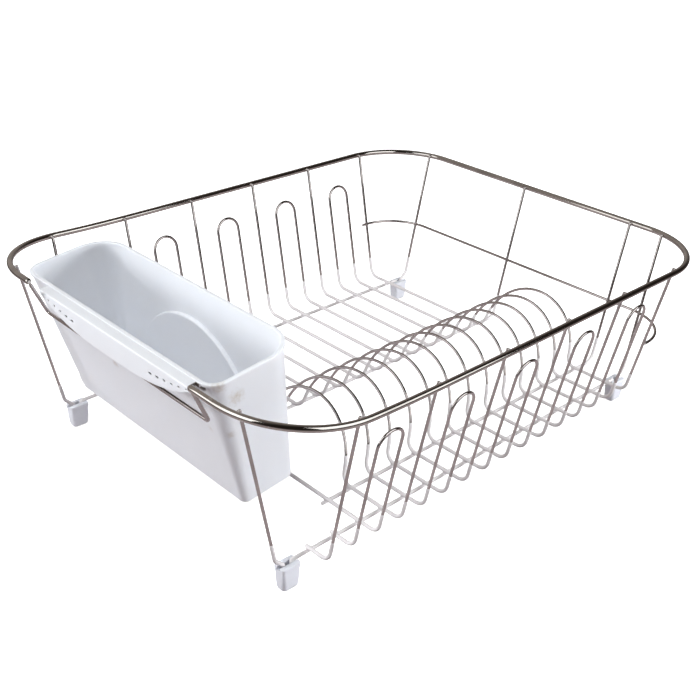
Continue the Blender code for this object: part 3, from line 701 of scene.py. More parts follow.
def bend(before, corner, after, radius, step=ARC_STEP):
    """Points of the arc of this radius that rounds a corner between two straight runs."""
    back = (before - corner).normalized()
    on = (after - corner).normalized()
    opening = back.angle(on)
    turn = math.pi - opening
    first = corner + back * radius / math.tan(opening / 2)
    centre = corner + (back + on).normalized() * radius / math.sin(opening / 2)
    axis = back.cross(on).normalized()
    count = max(2, round(turn / step))
    arm = first - centre
    return [centre + Quaternion(axis, -turn * i / count) @ arm for i in range(count + 1)]


def rounded_path(corners, radii, step=ARC_STEP):
    path = [corners[0]]
    for i, radius in enumerate(radii, start=1):
        path += bend(corners[i - 1], corners[i], corners[i + 1], radius, step)
    return path + [corners[-1]]


def wire_x(number):
    """X of a cross wire, counted from 1 at the open end."""
    return WIRE_PITCH * (number - 1) - OUTER_WIRE_X


def rim_z(x):
    """Height of the rim, which curves up towards its open end."""
    share = min(max((RISE_LENGTH - RIM_HALF_X - x) / RISE_LENGTH, 0), 1)
    return RIM_Z + OPEN_END_RISE * share ** RISE_CURVE


def corner_inset(past, radius):
    past = min(max(past, 0), radius)
    return radius - math.sqrt(radius ** 2 - past ** 2)


def rim_y_at(x):
    return RIM_HALF_Y - corner_inset(abs(x) - (RIM_HALF_X - RIM_CORNER_R), RIM_CORNER_R)


def rim_x_at(y):
    return RIM_HALF_X - corner_inset(abs(y) - (RIM_HALF_Y - RIM_CORNER_R), RIM_CORNER_R)


def spaced(path, spacing):
    """The same path with its long runs cut to this spacing."""
    made = []
    for here, after in zip(path, path[1:]):
        count = max(1, math.ceil((after - here).length / spacing))
        made += [here.lerp(after, i / count) for i in range(count)]
    return made + [path[-1]]


def rim_path():
    half_x, half_y = RIM_HALF_X, RIM_HALF_Y
    corners = [(-half_x, half_y), (half_x, half_y), (half_x, -half_y), (-half_x, -half_y)]
    ends = [(-half_x, RIM_END_BACK_Y), (-half_x, RIM_END_FRONT_Y)]
    flat = [Vector((x, y, 0)) for x, y in (ends[0], *corners, ends[1])]
    path = spaced(rounded_path(flat, [RIM_CORNER_R] * 4, RIM_ARC_STEP), RIM_SPACING)
    return [Vector((p.x, p.y, rim_z(p.x))) for p in path]


def lean_to(top, foot, foot_z, reached_z):
    """How far a wire leans out for each unit of height, from its foot to just inside the rim's wire."""
    height = reached_z - foot_z
    inside = WIRE_TO_RIM * math.hypot(1, (top - foot) / height)
    return (top - inside - foot) / height


def wall_slope(x, reached_z):
    return lean_to(rim_y_at(x), FLOOR_HALF_Y, FLOOR_Z, reached_z)


def wall_point(x, side, z, reached_z):
    """Point of the front (side -1) or back (side 1) wall at height z."""
    return Vector((x, side * (FLOOR_HALF_Y + wall_slope(x, reached_z) * (z - FLOOR_Z)), z))


def wall_tip(x, side):
    height = rim_z(x)
    return wall_point(x, side, height + TIP_LENGTH, height)


def end_slope(side, y):
    return lean_to(rim_x_at(y), END_FOOT_X, ROD_Z, rim_z(side * RIM_HALF_X))


def end_point(side, y, z):
    """Point of the left (side -1) or right (side 1) end's uprights at height z."""
    return Vector((side * (END_FOOT_X + end_slope(side, y) * (z - ROD_Z)), y, z))


def end_tip(side, y):
    return end_point(side, y, rim_z(side * RIM_HALF_X) + TIP_LENGTH)


def floor_corner(x, side):
    return Vector((x, side * FLOOR_HALF_Y, FLOOR_Z))


def wall_bend(x, side, top):
    """Bend from the wall into the floor, from the top down."""
    return bend(top, floor_corner(x, side), floor_corner(x, -side), FLOOR_BEND_R)


def arch_path(x):
    """Plate arch, from its front foot to its back foot, in the leaning plane over a floor wire."""
    sink = math.asin((ARCH_FOOT_R - ARCH_CENTRE_H) / (ARCH_R + ARCH_FOOT_R))
    foot_turn = math.pi / 2 - sink
    foot_steps = max(2, round(foot_turn / ARC_STEP))
    arch_turn = math.pi - 2 * sink
    arch_steps = round(arch_turn / WIDE_ARC_STEP)
    flat = []
    for i in range(foot_steps):
        angle = foot_turn * i / foot_steps
        flat.append((ARCH_FOOT_R * math.sin(angle) - ARCH_FOOT_SPREAD, ARCH_FOOT_R * (1 - math.cos(angle))))
    for i in range(arch_steps + 1):
        angle = sink + arch_turn * i / arch_steps
        flat.append((-ARCH_R * math.cos(angle), ARCH_CENTRE_H + ARCH_R * math.sin(angle)))
    flat += [(-y, height) for y, height in flat[foot_steps - 1::-1]]
    across, up = math.sin(ARCH_LEAN), math.cos(ARCH_LEAN)
    return [Vector((x + h * across, ARCH_CENTRE_Y + y, FLOOR_Z + h * up)) for y, h in flat]


def crossing(number, front_top, back_top):
    """One cross wire from its front top to its back top, with its arch if it has one."""
    x = wire_x(number)
    arch = arch_path(x) if number >= FIRST_ARCH_WIRE else []
    return [*wall_bend(x, -1, front_top), *arch, *reversed(wall_bend(x, 1, back_top))]


def hairpin(number, side):
    """Half circle that joins wall wires number and number + 1, tangent to both."""
    slope = wall_slope(0, RIM_Z)
    up = Vector((0, side * slope, 1)).normalized()
    centre_x = (wire_x(number) + wire_x(number + 1)) / 2
    centre_z = HAIRPIN_TOP_Z - HAIRPIN_R * up.z
    centre = Vector((centre_x, side * (FLOOR_HALF_Y + slope * (centre_z - FLOOR_Z)), centre_z))
    along = Vector((1, 0, 0))
    count = round(math.pi / ARC_STEP)
    turns = [math.pi * i / count for i in range(count + 1)]
    return [centre - along * HAIRPIN_R * math.cos(t) + up * HAIRPIN_R * math.sin(t) for t in turns]


def single_path(number):
    x = wire_x(number)
    front, back = wall_tip(x, -1), wall_tip(x, 1)
    return [front, *crossing(number, front, back), back]


def loop_path(number):
    """Closed loop of wires number and number + 1."""
    front, back = hairpin(number, -1), hairpin(number, 1)
    out = crossing(number, front[0], back[0])
    home = crossing(number + 1, front[-1], back[-1])
    return [*out, *back, *reversed(home), *reversed(front)]


def short_leg(number, side, top):
    """Floor end of a wall wire that stops on the frame wire under it, from the tail up."""
    tail = Vector((wire_x(number), side * (FRAME_ROD_Y - SHORT_WIRE_TAIL), FLOOR_Z))
    return [tail, *reversed(wall_bend(wire_x(number), side, top))]


def corner_path(side):
    tip = wall_tip(wire_x(1), side)
    return [*short_leg(1, side, tip), tip]


def left_pair_path():
    """The last short wire, cut off on the frame wires at both sides, in one piece with the next one."""
    number = LAST_SHORT_WIRE
    front, back = hairpin(number, -1), hairpin(number, 1)
    across = crossing(number + 1, front[-1], back[-1])
    start = [*short_leg(number, -1, front[0]), *front]
    end = [*reversed(back), *reversed(short_leg(number, 1, back[0]))]
    return [*start, *across, *end]


def frame_path(side):
    """Left leg, loop in a foot, run under the cross wires, loop in a foot and right upright."""
    y = side * FRAME_ROD_Y
    entry_z = ROD_Z - LEG_ENTRY_DROP
    bottom_z = FOOT_FLOOR + SEAT_GAP + COAT_R

    def end_corners(end):
        turn = end_point(end, y, LEG_TURN_Z)
        outer, inner = end * (FOOT_X + LOOP_HALF_X), end * (FOOT_X - LOOP_HALF_X)
        places = [(outer, entry_z), (outer, bottom_z), (inner, bottom_z), (inner, ROD_Z)]
        return [end_tip(end, y), turn, *(Vector((x, y, z)) for x, z in places)]

    radii = [LEG_TURN_R, LEG_ENTRY_R, LOOP_BEND_R, LOOP_BEND_R, LEG_ENTRY_R]
    return rounded_path(end_corners(-1) + end_corners(1)[::-1], radii + radii[::-1])


def rod_path(y):
    """Floor rod from the first whole cross wire to the right, where it turns up to the rim."""
    start = Vector((wire_x(LAST_SHORT_WIRE + 1) - COAT_R - ROD_TAIL, y, ROD_Z))
    return rounded_path([start, Vector((END_FOOT_X, y, ROD_Z)), end_tip(1, y)], [END_BEND_R])


def guard_path():
    """Guard wire round the outside of the right end's uprights and of the last cross wire."""
    last_x = wire_x(WIRE_COUNT)
    clear_y = WIRE_TO_WIRE * math.hypot(1, wall_slope(last_x, RIM_Z))
    guard_y = wall_point(last_x, 1, GUARD_Z, RIM_Z).y + clear_y
    guard_x = 0
    for y in (MIDDLE_ROD_Y, FRAME_ROD_Y):
        clear_x = end_point(1, y, GUARD_Z).x + WIRE_TO_WIRE * math.hypot(1, end_slope(1, y))
        guard_x = max(guard_x, clear_x + corner_inset(y - (guard_y - GUARD_CORNER_R), GUARD_CORNER_R))
    tail_x = last_x - GUARD_TAIL
    places = [(tail_x, -guard_y), (guard_x, -guard_y), (guard_x, guard_y), (tail_x, guard_y)]
    return rounded_path([Vector((x, y, GUARD_Z)) for x, y in places], [GUARD_CORNER_R] * 2, WIDE_ARC_STEP)


def carrier_line():
    """Ends of the straight bar that the cup hangs on."""
    bar_x = CARRIER_SET_IN - RIM_HALF_X
    bar_z = rim_z(-RIM_HALF_X) - CARRIER_DROP
    return (Vector((bar_x, RIM_END_FRONT_Y - CARRIER_INSET, bar_z)),
            Vector((bar_x, RIM_END_BACK_Y + CARRIER_INSET, bar_z)))


def carrier_path():
    front, back = carrier_line()
    ends = []
    for low in (front, back):
        rim_centre = Vector((-RIM_HALF_X, low.y, rim_z(-RIM_HALF_X)))
        ends.append(rim_centre + (low - rim_centre).normalized() * (RIM_R + SEAT_GAP))
    return rounded_path([ends[0], front, back, ends[1]], [CARRIER_BEND_R] * 2)


# Wires

def domed(path, radius, start=True, end=True, least=THIN_END):
    """Path as (point, radius) pairs whose cut ends are rounded over, down to a least share of the radius."""
    pairs = [(p, radius) for p in path]
    last_turn = math.acos(least)

    def dome(tip, inward):
        along = (inward - tip).normalized()
        turns = [last_turn * i / TIP_STEPS for i in range(TIP_STEPS, -1, -1)]
        return [(tip + along * radius * (1 - math.sin(t)), radius * math.cos(t)) for t in turns]

    if start:
        pairs[:1] = dome(path[0], path[1])
    if end:
        pairs[-1:] = dome(path[-1], path[-2])[::-1]
    return pairs


def split_at_coat(path, closed):
    """Cuts a dipped wire's path where the coat ends. Gives bare runs and coated runs."""
    points = list(path)
    if closed:
        first = next(i for i in range(len(points)) if points[i - 1].z >= COAT_TOP_Z > points[i].z)
        points = points[first:] + points[:first] + [points[first]]
    runs = {"bare": [], "coated": []}
    run = [points[0]]
    inside = points[0].z < COAT_TOP_Z
    for here, after in zip(points, points[1:]):
        if (after.z < COAT_TOP_Z) != inside:
            edge = here.lerp(after, (COAT_TOP_Z - here.z) / (after.z - here.z))
            runs["coated" if inside else "bare"].append(run + [edge])
            run, inside = [edge], not inside
        run.append(after)
    runs["coated" if inside else "bare"].append(run)
    if closed:
        lead = runs["coated"].pop()
        runs["coated"][0] = lead[:-1] + runs["coated"][0]
    return runs


def reach_into_coat(run, ends):
    """Lengthens a bare run into the coat at the ends that meet it."""
    run = list(run)
    if ends[0]:
        run.insert(0, run[0] + (run[0] - run[1]).normalized() * COAT_R)
    if ends[1]:
        run.append(run[-1] + (run[-1] - run[-2]).normalized() * COAT_R)
    return run


def curve_of(name, runs):
    """Curve object with one straight-segment path for each run of (point, radius) pairs."""
    data = bpy.data.curves.new(name, "CURVE")
    data.dimensions = "3D"
    for run in runs:
        line = data.splines.new("POLY")
        line.points.add(len(run) - 1)
        for point, (place, radius) in zip(line.points, run):
            point.co = (*place, 1)
            point.radius = radius
    return link_object(name, data)


def sweep(name, runs, sides, material, uneven=0.0):
    """Round wires along runs of (point, radius) pairs, as one plain mesh."""
    line = curve_of(name + "_line", runs)
    with_nodes(line, round_wire, {
        "Wire radius": 1.0, "Sides": sides, "Unevenness": uneven, "Material": material})
    return finished_mesh(line, name)


def stand_for(piece, body, slot, *nodes):
    """Gives a piece its body and hides the model's nodes that it takes the place of; the slot is not used."""
    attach(piece, body)
    if nodes:
        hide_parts(*nodes)


def dipped_wires():
    """Every wire that was dipped: its node's name, its path and whether it is a closed loop."""
    wires = []
    for side, where in ((-1, "front"), (1, "back")):
        wires.append(("frame_wire_" + where, frame_path(side), False))
        wires.append(("cross_wire_01_" + where, corner_path(side), False))
    wires.append(("floor_rod_middle", rod_path(MIDDLE_ROD_Y), False))
    wires.append(("floor_rod_front", rod_path(FRONT_ROD_Y), False))
    wires.append(("cross_wire_02_03", left_pair_path(), False))
    for number in range(FIRST_ARCH_WIRE, WIRE_COUNT + 1, SINGLE_EVERY):
        wires.append(("cross_wire_%02d" % number, single_path(number), False))
    for number in range(FIRST_ARCH_WIRE + 1, WIRE_COUNT, SINGLE_EVERY):
        wires.append(("cross_wire_%02d_%02d" % (number, number + 1), loop_path(number), True))
    return wires


def make_dipped_wires(plated, dip):
    """Each wire bare where it shows, and the white coat over all of them as one skin."""
    coats = []
    for name, path, closed in dipped_wires():
        runs = split_at_coat(path, closed)
        bare = []
        for run in runs["bare"]:
            meets = [abs(end.z - COAT_TOP_Z) < SEAT_GAP for end in (run[0], run[-1])]
            run = reach_into_coat(run, meets)
            bare.append(domed(run, WIRE_R, not meets[0], not meets[1]))
        stand_for(sweep(name + "_bare", bare, WIRE_SIDES, plated), "rack", "chrome", name)
        for run in runs["coated"]:
            coats.append(domed(spaced(run, COAT_SPACING), COAT_R, least=COAT_END))
    names = [name for name, _, _ in dipped_wires()]
    stand_for(sweep("dip_coat", coats, WIRE_SIDES, dip, COAT_SWELL), "rack", "dipped_wire", *names)


def make_plain_wires(plated, heavy):
    """The wires that were plated and not dipped."""
    wires = (
        ("rim", rim_path(), RIM_R, RIM_END, RIM_SIDES, heavy),
        ("cup_carrier", carrier_path(), CARRIER_R, CARRIER_END, WIRE_SIDES, plated),
        ("end_guard", guard_path(), WIRE_R, THIN_END, WIRE_SIDES, plated),
    )
    for name, path, radius, least, sides, material in wires:
        piece = sweep(name + "_wire", [domed(path, radius, least=least)], sides, material)
        stand_for(piece, "rack", "chrome", name)


# Welds

def on_points(name, tree, places, attribute, kind, values, inputs):
    """Mesh that a tree makes on loose points, each with a value of its own."""
    data = bpy.data.meshes.new(name + "_points")
    data.from_pydata([tuple(p) for p in places], [], [])
    layer = data.attributes.new(attribute, kind, "POINT")
    field = "vector" if kind == "FLOAT_VECTOR" else "value"
    for item, value in zip(layer.data, values):
        setattr(item, field, value)
    points = link_object(name + "_points", data)
    with_nodes(points, tree, inputs)
    return finished_mesh(points, name)


def beads(name, welds, size, material):
    """Beads at (point, direction) pairs, as one mesh."""
    places, axes = zip(*welds)
    inputs = {"Bead radius": size[0], "Bead stretch": size[1], "Material": material}
    return on_points(name, weld_beads, places, "bead_axis", "FLOAT_VECTOR", axes, inputs)


def beside(wire, other):
    """Where a weld lies: just outside a thin wire, towards another."""
    return wire + (other - wire).normalized() * (WIRE_R + SEAT_GAP / 2)


def rim_welds():
    """Welds of the wall wires and end uprights to the rim."""
    made = []
    for number in (1, *range(FIRST_ARCH_WIRE, WIRE_COUNT + 1, SINGLE_EVERY)):
        x = wire_x(number)
        height = rim_z(x)
        for side in (-1, 1):
            wire = wall_point(x, side, height, height)
            rim = Vector((x, side * rim_y_at(x), height))
            made.append((beside(wire, rim), wall_tip(x, side) - floor_corner(x, side)))
    for end, y in [(-1, -FRAME_ROD_Y), (-1, FRAME_ROD_Y)] + [(1, y) for y in ROD_PLACES_Y]:
        height = rim_z(end * RIM_HALF_X)
        rim = Vector((end * rim_x_at(y), y, height))
        made.append((beside(end_point(end, y, height), rim), end_tip(end, y) - end_point(end, y, ROD_Z)))
    return made


def small_welds():
    """Welds of the guard to what it crosses, and of the carrier to the rim's ends."""
    made = []
    guard = guard_path()
    guard_x, guard_y = max(p.x for p in guard), max(p.y for p in guard)
    up = Vector((0, 0, 1))
    for y in ROD_PLACES_Y:
        out = guard_x - corner_inset(abs(y) - (guard_y - GUARD_CORNER_R), GUARD_CORNER_R)
        made.append((beside(end_point(1, y, GUARD_Z), Vector((out, y, GUARD_Z))), up))
    last_x = wire_x(WIRE_COUNT)
    for side in (-1, 1):
        wire = wall_point(last_x, side, GUARD_Z, RIM_Z)
        made.append((beside(wire, Vector((last_x, side * guard_y, GUARD_Z))), up))
    bar = carrier_path()
    return made + [(tip, Vector((0, 1, 0))) for tip in (bar[0], bar[-1])]


def coat_crossings():
    """Where the coat has run together between the cross wires and the rods under them."""
    made = []
    middle_z = (FLOOR_Z + ROD_Z) / 2
    for number in range(1, WIRE_COUNT + 1):
        for y in ROD_PLACES_Y:
            if number > LAST_SHORT_WIRE or abs(y) == FRAME_ROD_Y:
                made.append((Vector((wire_x(number), y, middle_z)), Vector((0, 0, 1))))
    return made


def make_welds(plated, dip):
    stand_for(beads("rim_welds", rim_welds(), RIM_BEAD, plated), "rack", "chrome")
    stand_for(beads("small_welds", small_welds(), SMALL_BEAD, plated), "rack", "chrome")
    stand_for(beads("coat_crossings", coat_crossings(), COAT_BEAD, dip), "rack", "dipped_wire")


# Moulded pieces

def rounding(radius, steps):
    """Points of a rounded edge, as how far each lies inside the wall and inside the flat face."""
    turns = [math.pi / 2 * i / steps for i in range(steps + 1)]
    return [(radius * (1 - math.sin(t)), radius * (1 - math.cos(t))) for t in turns]


def blend(low, high, share):
    return [a + (b - a) * share for a, b in zip(low, high)]


def rounded_rectangle(half_x, half_y, right_r, left_r, steps, z, centre_x=0, run_cuts=(1, 1)):
    """Ring of points round a rectangle, with one radius for the corners at +X and one for -X.

    The straight runs along X and along Y are cut into the two numbers of parts.
    """
    points = []
    corners = ((1, 1, right_r), (-1, 1, left_r), (-1, -1, left_r), (1, -1, right_r))
    for quarter, (side_x, side_y, radius) in enumerate(corners):
        for i in range(steps + 1):
            angle = math.pi / 2 * (quarter + i / steps)
            x = centre_x + side_x * (half_x - radius) + radius * math.cos(angle)
            y = side_y * (half_y - radius) + radius * math.sin(angle)
            points.append(Vector((x, y, z)))
    made = []
    for i, point in enumerate(points):
        made.append(point)
        if i % (steps + 1) == steps:
            after = points[(i + 1) % len(points)]
            cuts = run_cuts[(i // (steps + 1)) % 2]
            made += [point.lerp(after, k / cuts) for k in range(1, cuts)]
    return made


def solid_from(name, shape, material=None):
    bmesh.ops.recalc_face_normals(shape, faces=shape.faces)
    data = bpy.data.meshes.new(name)
    shape.to_mesh(data)
    shape.free()
    if material:
        data.materials.append(material)
    return link_object(name, data)


def loft(name, rings, material=None):
    """Closed skin through rings of equal point counts, capped at the first and the last."""
    shape = bmesh.new()
    loops = [[shape.verts.new(p) for p in ring] for ring in rings]
    for low, high in zip(loops, loops[1:]):
        for i, vertex in enumerate(low):
            after = (i + 1) % len(low)
            shape.faces.new((vertex, low[after], high[after], high[i]))
    shape.faces.new(loops[0][::-1])
    shape.faces.new(loops[-1])
    return solid_from(name, shape, material)


def boxes(name, corners):
    shape = bmesh.new()
    for low, high in corners:
        low, high = Vector(low), Vector(high)
        place = Matrix.Translation((low + high) / 2) @ Matrix.Diagonal((*(high - low), 1))
        bmesh.ops.create_cube(shape, size=1, matrix=place)
    return solid_from(name, shape)


def rounded_disc(name, radius, thickness, edge, sides):
    """Disc across X about the origin, with its edge at -X rounded over."""
    places = [(down - thickness / 2, radius - inward) for inward, down in rounding(edge, EDGE_STEPS)]
    places.append((thickness / 2, radius))
    angles = [2 * math.pi * i / sides for i in range(sides)]
    return loft(name, [[Vector((x, r * math.cos(a), r * math.sin(a))) for a in angles] for x, r in places])


def cut(target, tool, operation="DIFFERENCE"):
    """Cuts or joins at once, and removes the tool."""
    step = target.modifiers.new(tool.name, "BOOLEAN")
    step.operation = operation
    step.solver = "EXACT"
    step.object = tool
    data = evaluated_mesh(target)
    target.modifiers.clear()
    target.data = data
    bpy.data.objects.remove(tool, do_unlink=True)


def shade_walls(piece, sharper_than):
    """Clears the slivers that cuts leave, and shades the walls smooth and flat up to the sharp edges."""
    shape = bmesh.new()
    shape.from_mesh(piece.data)
    bmesh.ops.remove_doubles(shape, verts=shape.verts, dist=SLIVER)
    bmesh.ops.dissolve_degenerate(shape, edges=shape.edges, dist=SLIVER)
    shape.to_mesh(piece.data)
    shape.free()
    piece.data.shade_smooth()
    piece.data.set_sharp_from_angle(angle=sharper_than)
    normals = piece.modifiers.new("flat_walls", "WEIGHTED_NORMAL")
    normals.keep_sharp = True
    normals.weight = FLAT_WEIGHT


def foot_section(sides, grow, z):
    """Section of a foot, from its half sides and corner radius, grown outward."""
    half_x, half_y, radius = sides
    radius = max(radius + grow, FOOT_LEAST_R)
    return rounded_rectangle(half_x + grow, half_y + grow, radius, radius, FOOT_CORNER_STEPS, z)


def foot_rings():
    """Sections of a foot from its well rounded base up to the collar at its top."""
    base = (FOOT_BASE_HALF_X, FOOT_BASE_HALF_Y, FOOT_BASE_CORNER_R)
    waist = (FOOT_HALF_X - FOOT_STEP, FOOT_HALF_Y - FOOT_STEP, FOOT_CORNER_R)
    collar = (FOOT_HALF_X, FOOT_HALF_Y, FOOT_CORNER_R)
    waist_z = FOOT_HEIGHT - FOOT_COLLAR
    sections = [(base, -inward, up) for inward, up in rounding(FOOT_BASE_ROUND, FOOT_BASE_STEPS)]
    for i in range(1, FOOT_WALL_STEPS):
        share = i / FOOT_WALL_STEPS
        z = FOOT_BASE_ROUND + (waist_z - FOOT_BASE_ROUND) * share
        sections.append((blend(base, waist, share), FOOT_BULGE * math.sin(math.pi * share), z))
    sections += [(collar, -inward, waist_z + up) for inward, up in rounding(FOOT_STEP, EDGE_STEPS)]
    top_edge = rounding(FOOT_EDGE, EDGE_STEPS)[::-1]
    sections += [(collar, -inward, FOOT_HEIGHT - down) for inward, down in top_edge]
    return [foot_section(*section) for section in sections]


def make_foot(where, side_x, side_y, material):
    """Moulded foot with a collar, pocketed for the frame wire's loop."""
    foot = loft("foot_" + where, foot_rings(), material)
    around = COAT_R + SEAT_GAP
    reach = LOOP_HALF_X + around
    top = FOOT_HEIGHT + CUT_OVERRUN
    across = FOOT_HALF_X + CUT_OVERRUN
    cut(foot, boxes("pocket", [((-reach, -around, FOOT_FLOOR), (reach, around, top))]))
    cut(foot, boxes("groove", [((-across, -around, ROD_Z - LEG_ENTRY_DROP - around), (across, around, top))]))
    foot.location = (side_x * FOOT_X, side_y * FRAME_ROD_Y, 0)
    shade_walls(foot, FOOT_SHARP)
    stand_for(finished_mesh(foot, "moulded_foot_" + where), "rack", "foot_plastic", "foot_" + where)


def cup_section(depth, grow):
    """Section of the cup at a depth under its mouth, grown outward."""
    share = depth / CUP_HEIGHT
    mouth = (CUP_MOUTH_HALF_X, CUP_MOUTH_HALF_Y, CUP_MOUTH_INNER_R, CUP_MOUTH_OUTER_R)
    base = (CUP_BASE_HALF_X, CUP_BASE_HALF_Y, CUP_BASE_R, CUP_BASE_R)
    sides = [size + grow for size in blend(mouth, base, share)]
    return rounded_rectangle(*sides, CORNER_STEPS, -depth, CUP_BASE_SHIFT * share, CUP_RUN_CUTS)


def rounded_over(depth, grow, radius, steps, downward):
    """Rings that round an edge over, from the flat face to the wall."""
    return [(depth - downward * down, grow - inward) for inward, down in rounding(radius, steps)]


def down_the_wall(low, high, grow):
    """Rings between two depths, from the lower one up."""
    return [(low + (high - low) * i / CUP_WALL_RINGS, grow) for i in range(1, CUP_WALL_RINGS)]


def cup_shell(material):
    """The cup's outside as one solid, in its own frame with the mouth's centre at the origin."""
    places = rounded_over(CUP_HEIGHT, -LIP_OUT, CUP_EDGE_R, CUP_EDGE_STEPS, 1)
    places += down_the_wall(CUP_HEIGHT - CUP_EDGE_R, LIP_HEIGHT + LIP_EDGE / 2, -LIP_OUT)
    places += [(LIP_HEIGHT + LIP_EDGE / 2, -LIP_OUT), (LIP_HEIGHT, -LIP_OUT + LIP_EDGE / 4)]
    places += [(LIP_HEIGHT - LIP_EDGE / 2, -LIP_EDGE / 4), (LIP_HEIGHT - LIP_EDGE, 0)]
    places += rounded_over(0, 0, LIP_EDGE, EDGE_STEPS, -1)[::-1]
    return loft("cup_shell", [cup_section(depth, grow) for depth, grow in places], material)


def cup_cavity():
    wall = -LIP_OUT - CUP_WALL
    places = rounded_over(CUP_HEIGHT - CUP_FLOOR, wall, CUP_EDGE_R, CUP_EDGE_STEPS, 1)
    places += down_the_wall(CUP_HEIGHT - CUP_FLOOR - CUP_EDGE_R, LIP_EDGE, wall)
    places += [(LIP_EDGE * down, wall + LIP_EDGE * out) for down, out in LIP_SHARES]
    places += [(-CUT_OVERRUN, wall + LIP_EDGE + CUT_OVERRUN)]
    return loft("cup_cavity", [cup_section(depth, grow) for depth, grow in places])


def panel_disc(name, radius, outside, inside):
    """Disc that lies in the cup's inner long wall, between two depths from that wall's outer face."""
    fall = math.atan((CUP_MOUTH_HALF_X - CUP_BASE_HALF_X - CUP_BASE_SHIFT) / CUP_HEIGHT)
    disc = rounded_disc(name, radius, inside - outside, PANEL_EDGE, PANEL_SIDES)
    depth = CUP_HEIGHT - PANEL_RISE
    wall_x = CUP_MOUTH_HALF_X - LIP_OUT - depth * math.tan(fall)
    place = Matrix.Translation((wall_x, PANEL_SHIFT_Y, -depth)) @ Matrix.Rotation(fall, 4, "Y")
    disc.data.transform(place @ Matrix.Translation((-(outside + inside) / 2, 0, 0)))
    return disc


def skirt_drop(y):
    """Depth of the hook's skirt under its top edge, deepest in the middle."""
    share = abs(y) / HOOK_HALF_Y
    return SKIRT_DROP - (SKIRT_DROP - SKIRT_END_DROP) * share ** SKIRT_CURVE


def skirt_face_x():
    return carrier_line()[0].x - CARRIER_R - SEAT_GAP - HOOK_WALL


def slots(name, places, sizes, length, width, depth, turn):
    """Round-ended slot cutters at these places, as one mesh."""
    inputs = {"Slot length": length, "Slot width": width, "Slot depth": depth, "Turn": turn}
    return on_points(name, slot_cutters, places, "size_share", "FLOAT", sizes, inputs)


def hook_block():
    """Flange and skirt over the bar, cut into channels between the ribs that rest on it."""
    skirt_x, top_z, middle_y = skirt_face_x(), HOOK_TOP_Z, HOOK_MIDDLE_Y
    wall_fall = (CUP_MOUTH_HALF_X - CUP_BASE_HALF_X + CUP_BASE_SHIFT) / CUP_HEIGHT + math.tan(CUP_LEAN)
    depth = HOOK_REACH + LIP_OUT + SKIRT_DROP * wall_fall + JOIN_DEPTH
    inner_x = skirt_x + depth
    rise = math.tan(CUP_LEAN)
    rings = []
    for i in range(2 * SKIRT_STEPS + 1):
        y = HOOK_HALF_Y * (i / SKIRT_STEPS - 1)
        low_z = top_z - skirt_drop(y)
        section = [(skirt_x, low_z), (inner_x, low_z), (inner_x, top_z - HOOK_STEP + depth * rise)]
        for inward, down in rounding(HOOK_EDGE, EDGE_STEPS):
            section.append((skirt_x + inward, top_z - HOOK_STEP + HOOK_EDGE * rise - down * (1 + rise)))
        rings.append([Vector((x, middle_y + y, z)) for x, z in section])
    block = loft("hook_block", rings)

    front, _ = carrier_line()
    low_z = top_z - SKIRT_DROP - CUT_OVERRUN
    channel_x = skirt_x + HOOK_WALL
    past_x = inner_x + CUT_OVERRUN
    end_y = HOOK_HALF_Y + CUT_OVERRUN
    ribs = [HOOK_RIB_SPREAD * (i - (HOOK_RIB_COUNT - 1) / 2) for i in range(HOOK_RIB_COUNT)]
    starts = [-end_y] + [rib + HOOK_RIB_WIDTH / 2 for rib in ribs]
    stops = [rib - HOOK_RIB_WIDTH / 2 for rib in ribs] + [end_y]
    roof_z = top_z - HOOK_STEP - HOOK_WALL
    channels = [((channel_x, middle_y + start, low_z), (past_x, middle_y + stop, roof_z))
                for start, stop in zip(starts, stops)]
    cut(block, boxes("hook_channels", channels))
    low = (channel_x, middle_y - end_y, low_z)
    lip_x = skirt_x + HOOK_REACH - HOOK_MOUTH_LAND
    cut(block, boxes("hook_mouth", [(low, (lip_x, middle_y - HOOK_HALF_Y + HOOK_MOUTH, top_z + depth))]))
    seat_z = front.z + CARRIER_R + SEAT_GAP
    cut(block, boxes("bar_clearance", [(low, (past_x, middle_y + end_y, seat_z))]))

    places, sizes = [], []
    for i, share in enumerate(reversed(VENT_SIZE_SHARES)):
        for side in (-1, 1):
            y = side * (HOOK_HALF_Y - VENT_END_INSET - VENT_PITCH * i)
            z = top_z - VENT_DEPTH_SHARE * skirt_drop(y)
            places.append(Vector((skirt_x + HOOK_WALL / 2, middle_y + y, z)))
            sizes.append(share)
    depth, turn = HOOK_WALL + CUT_OVERRUN, (math.pi / 2, 0, math.pi / 2)
    cut(block, slots("skirt_vents", places, sizes, VENT_LENGTH, VENT_HEIGHT, depth, turn))
    return block


def drain_slots():
    most = int((CUP_BASE_HALF_Y - DRAIN_END_LAND) / DRAIN_PITCH)
    places = [Vector((CUP_BASE_SHIFT, DRAIN_PITCH * i, -CUP_HEIGHT)) for i in range(-most, most + 1)]
    sizes = [1.0] * len(places)
    return slots("drain_slots", places, sizes, DRAIN_LENGTH, DRAIN_WIDTH, 2 * CUT_OVERRUN, (0, 0, 0))


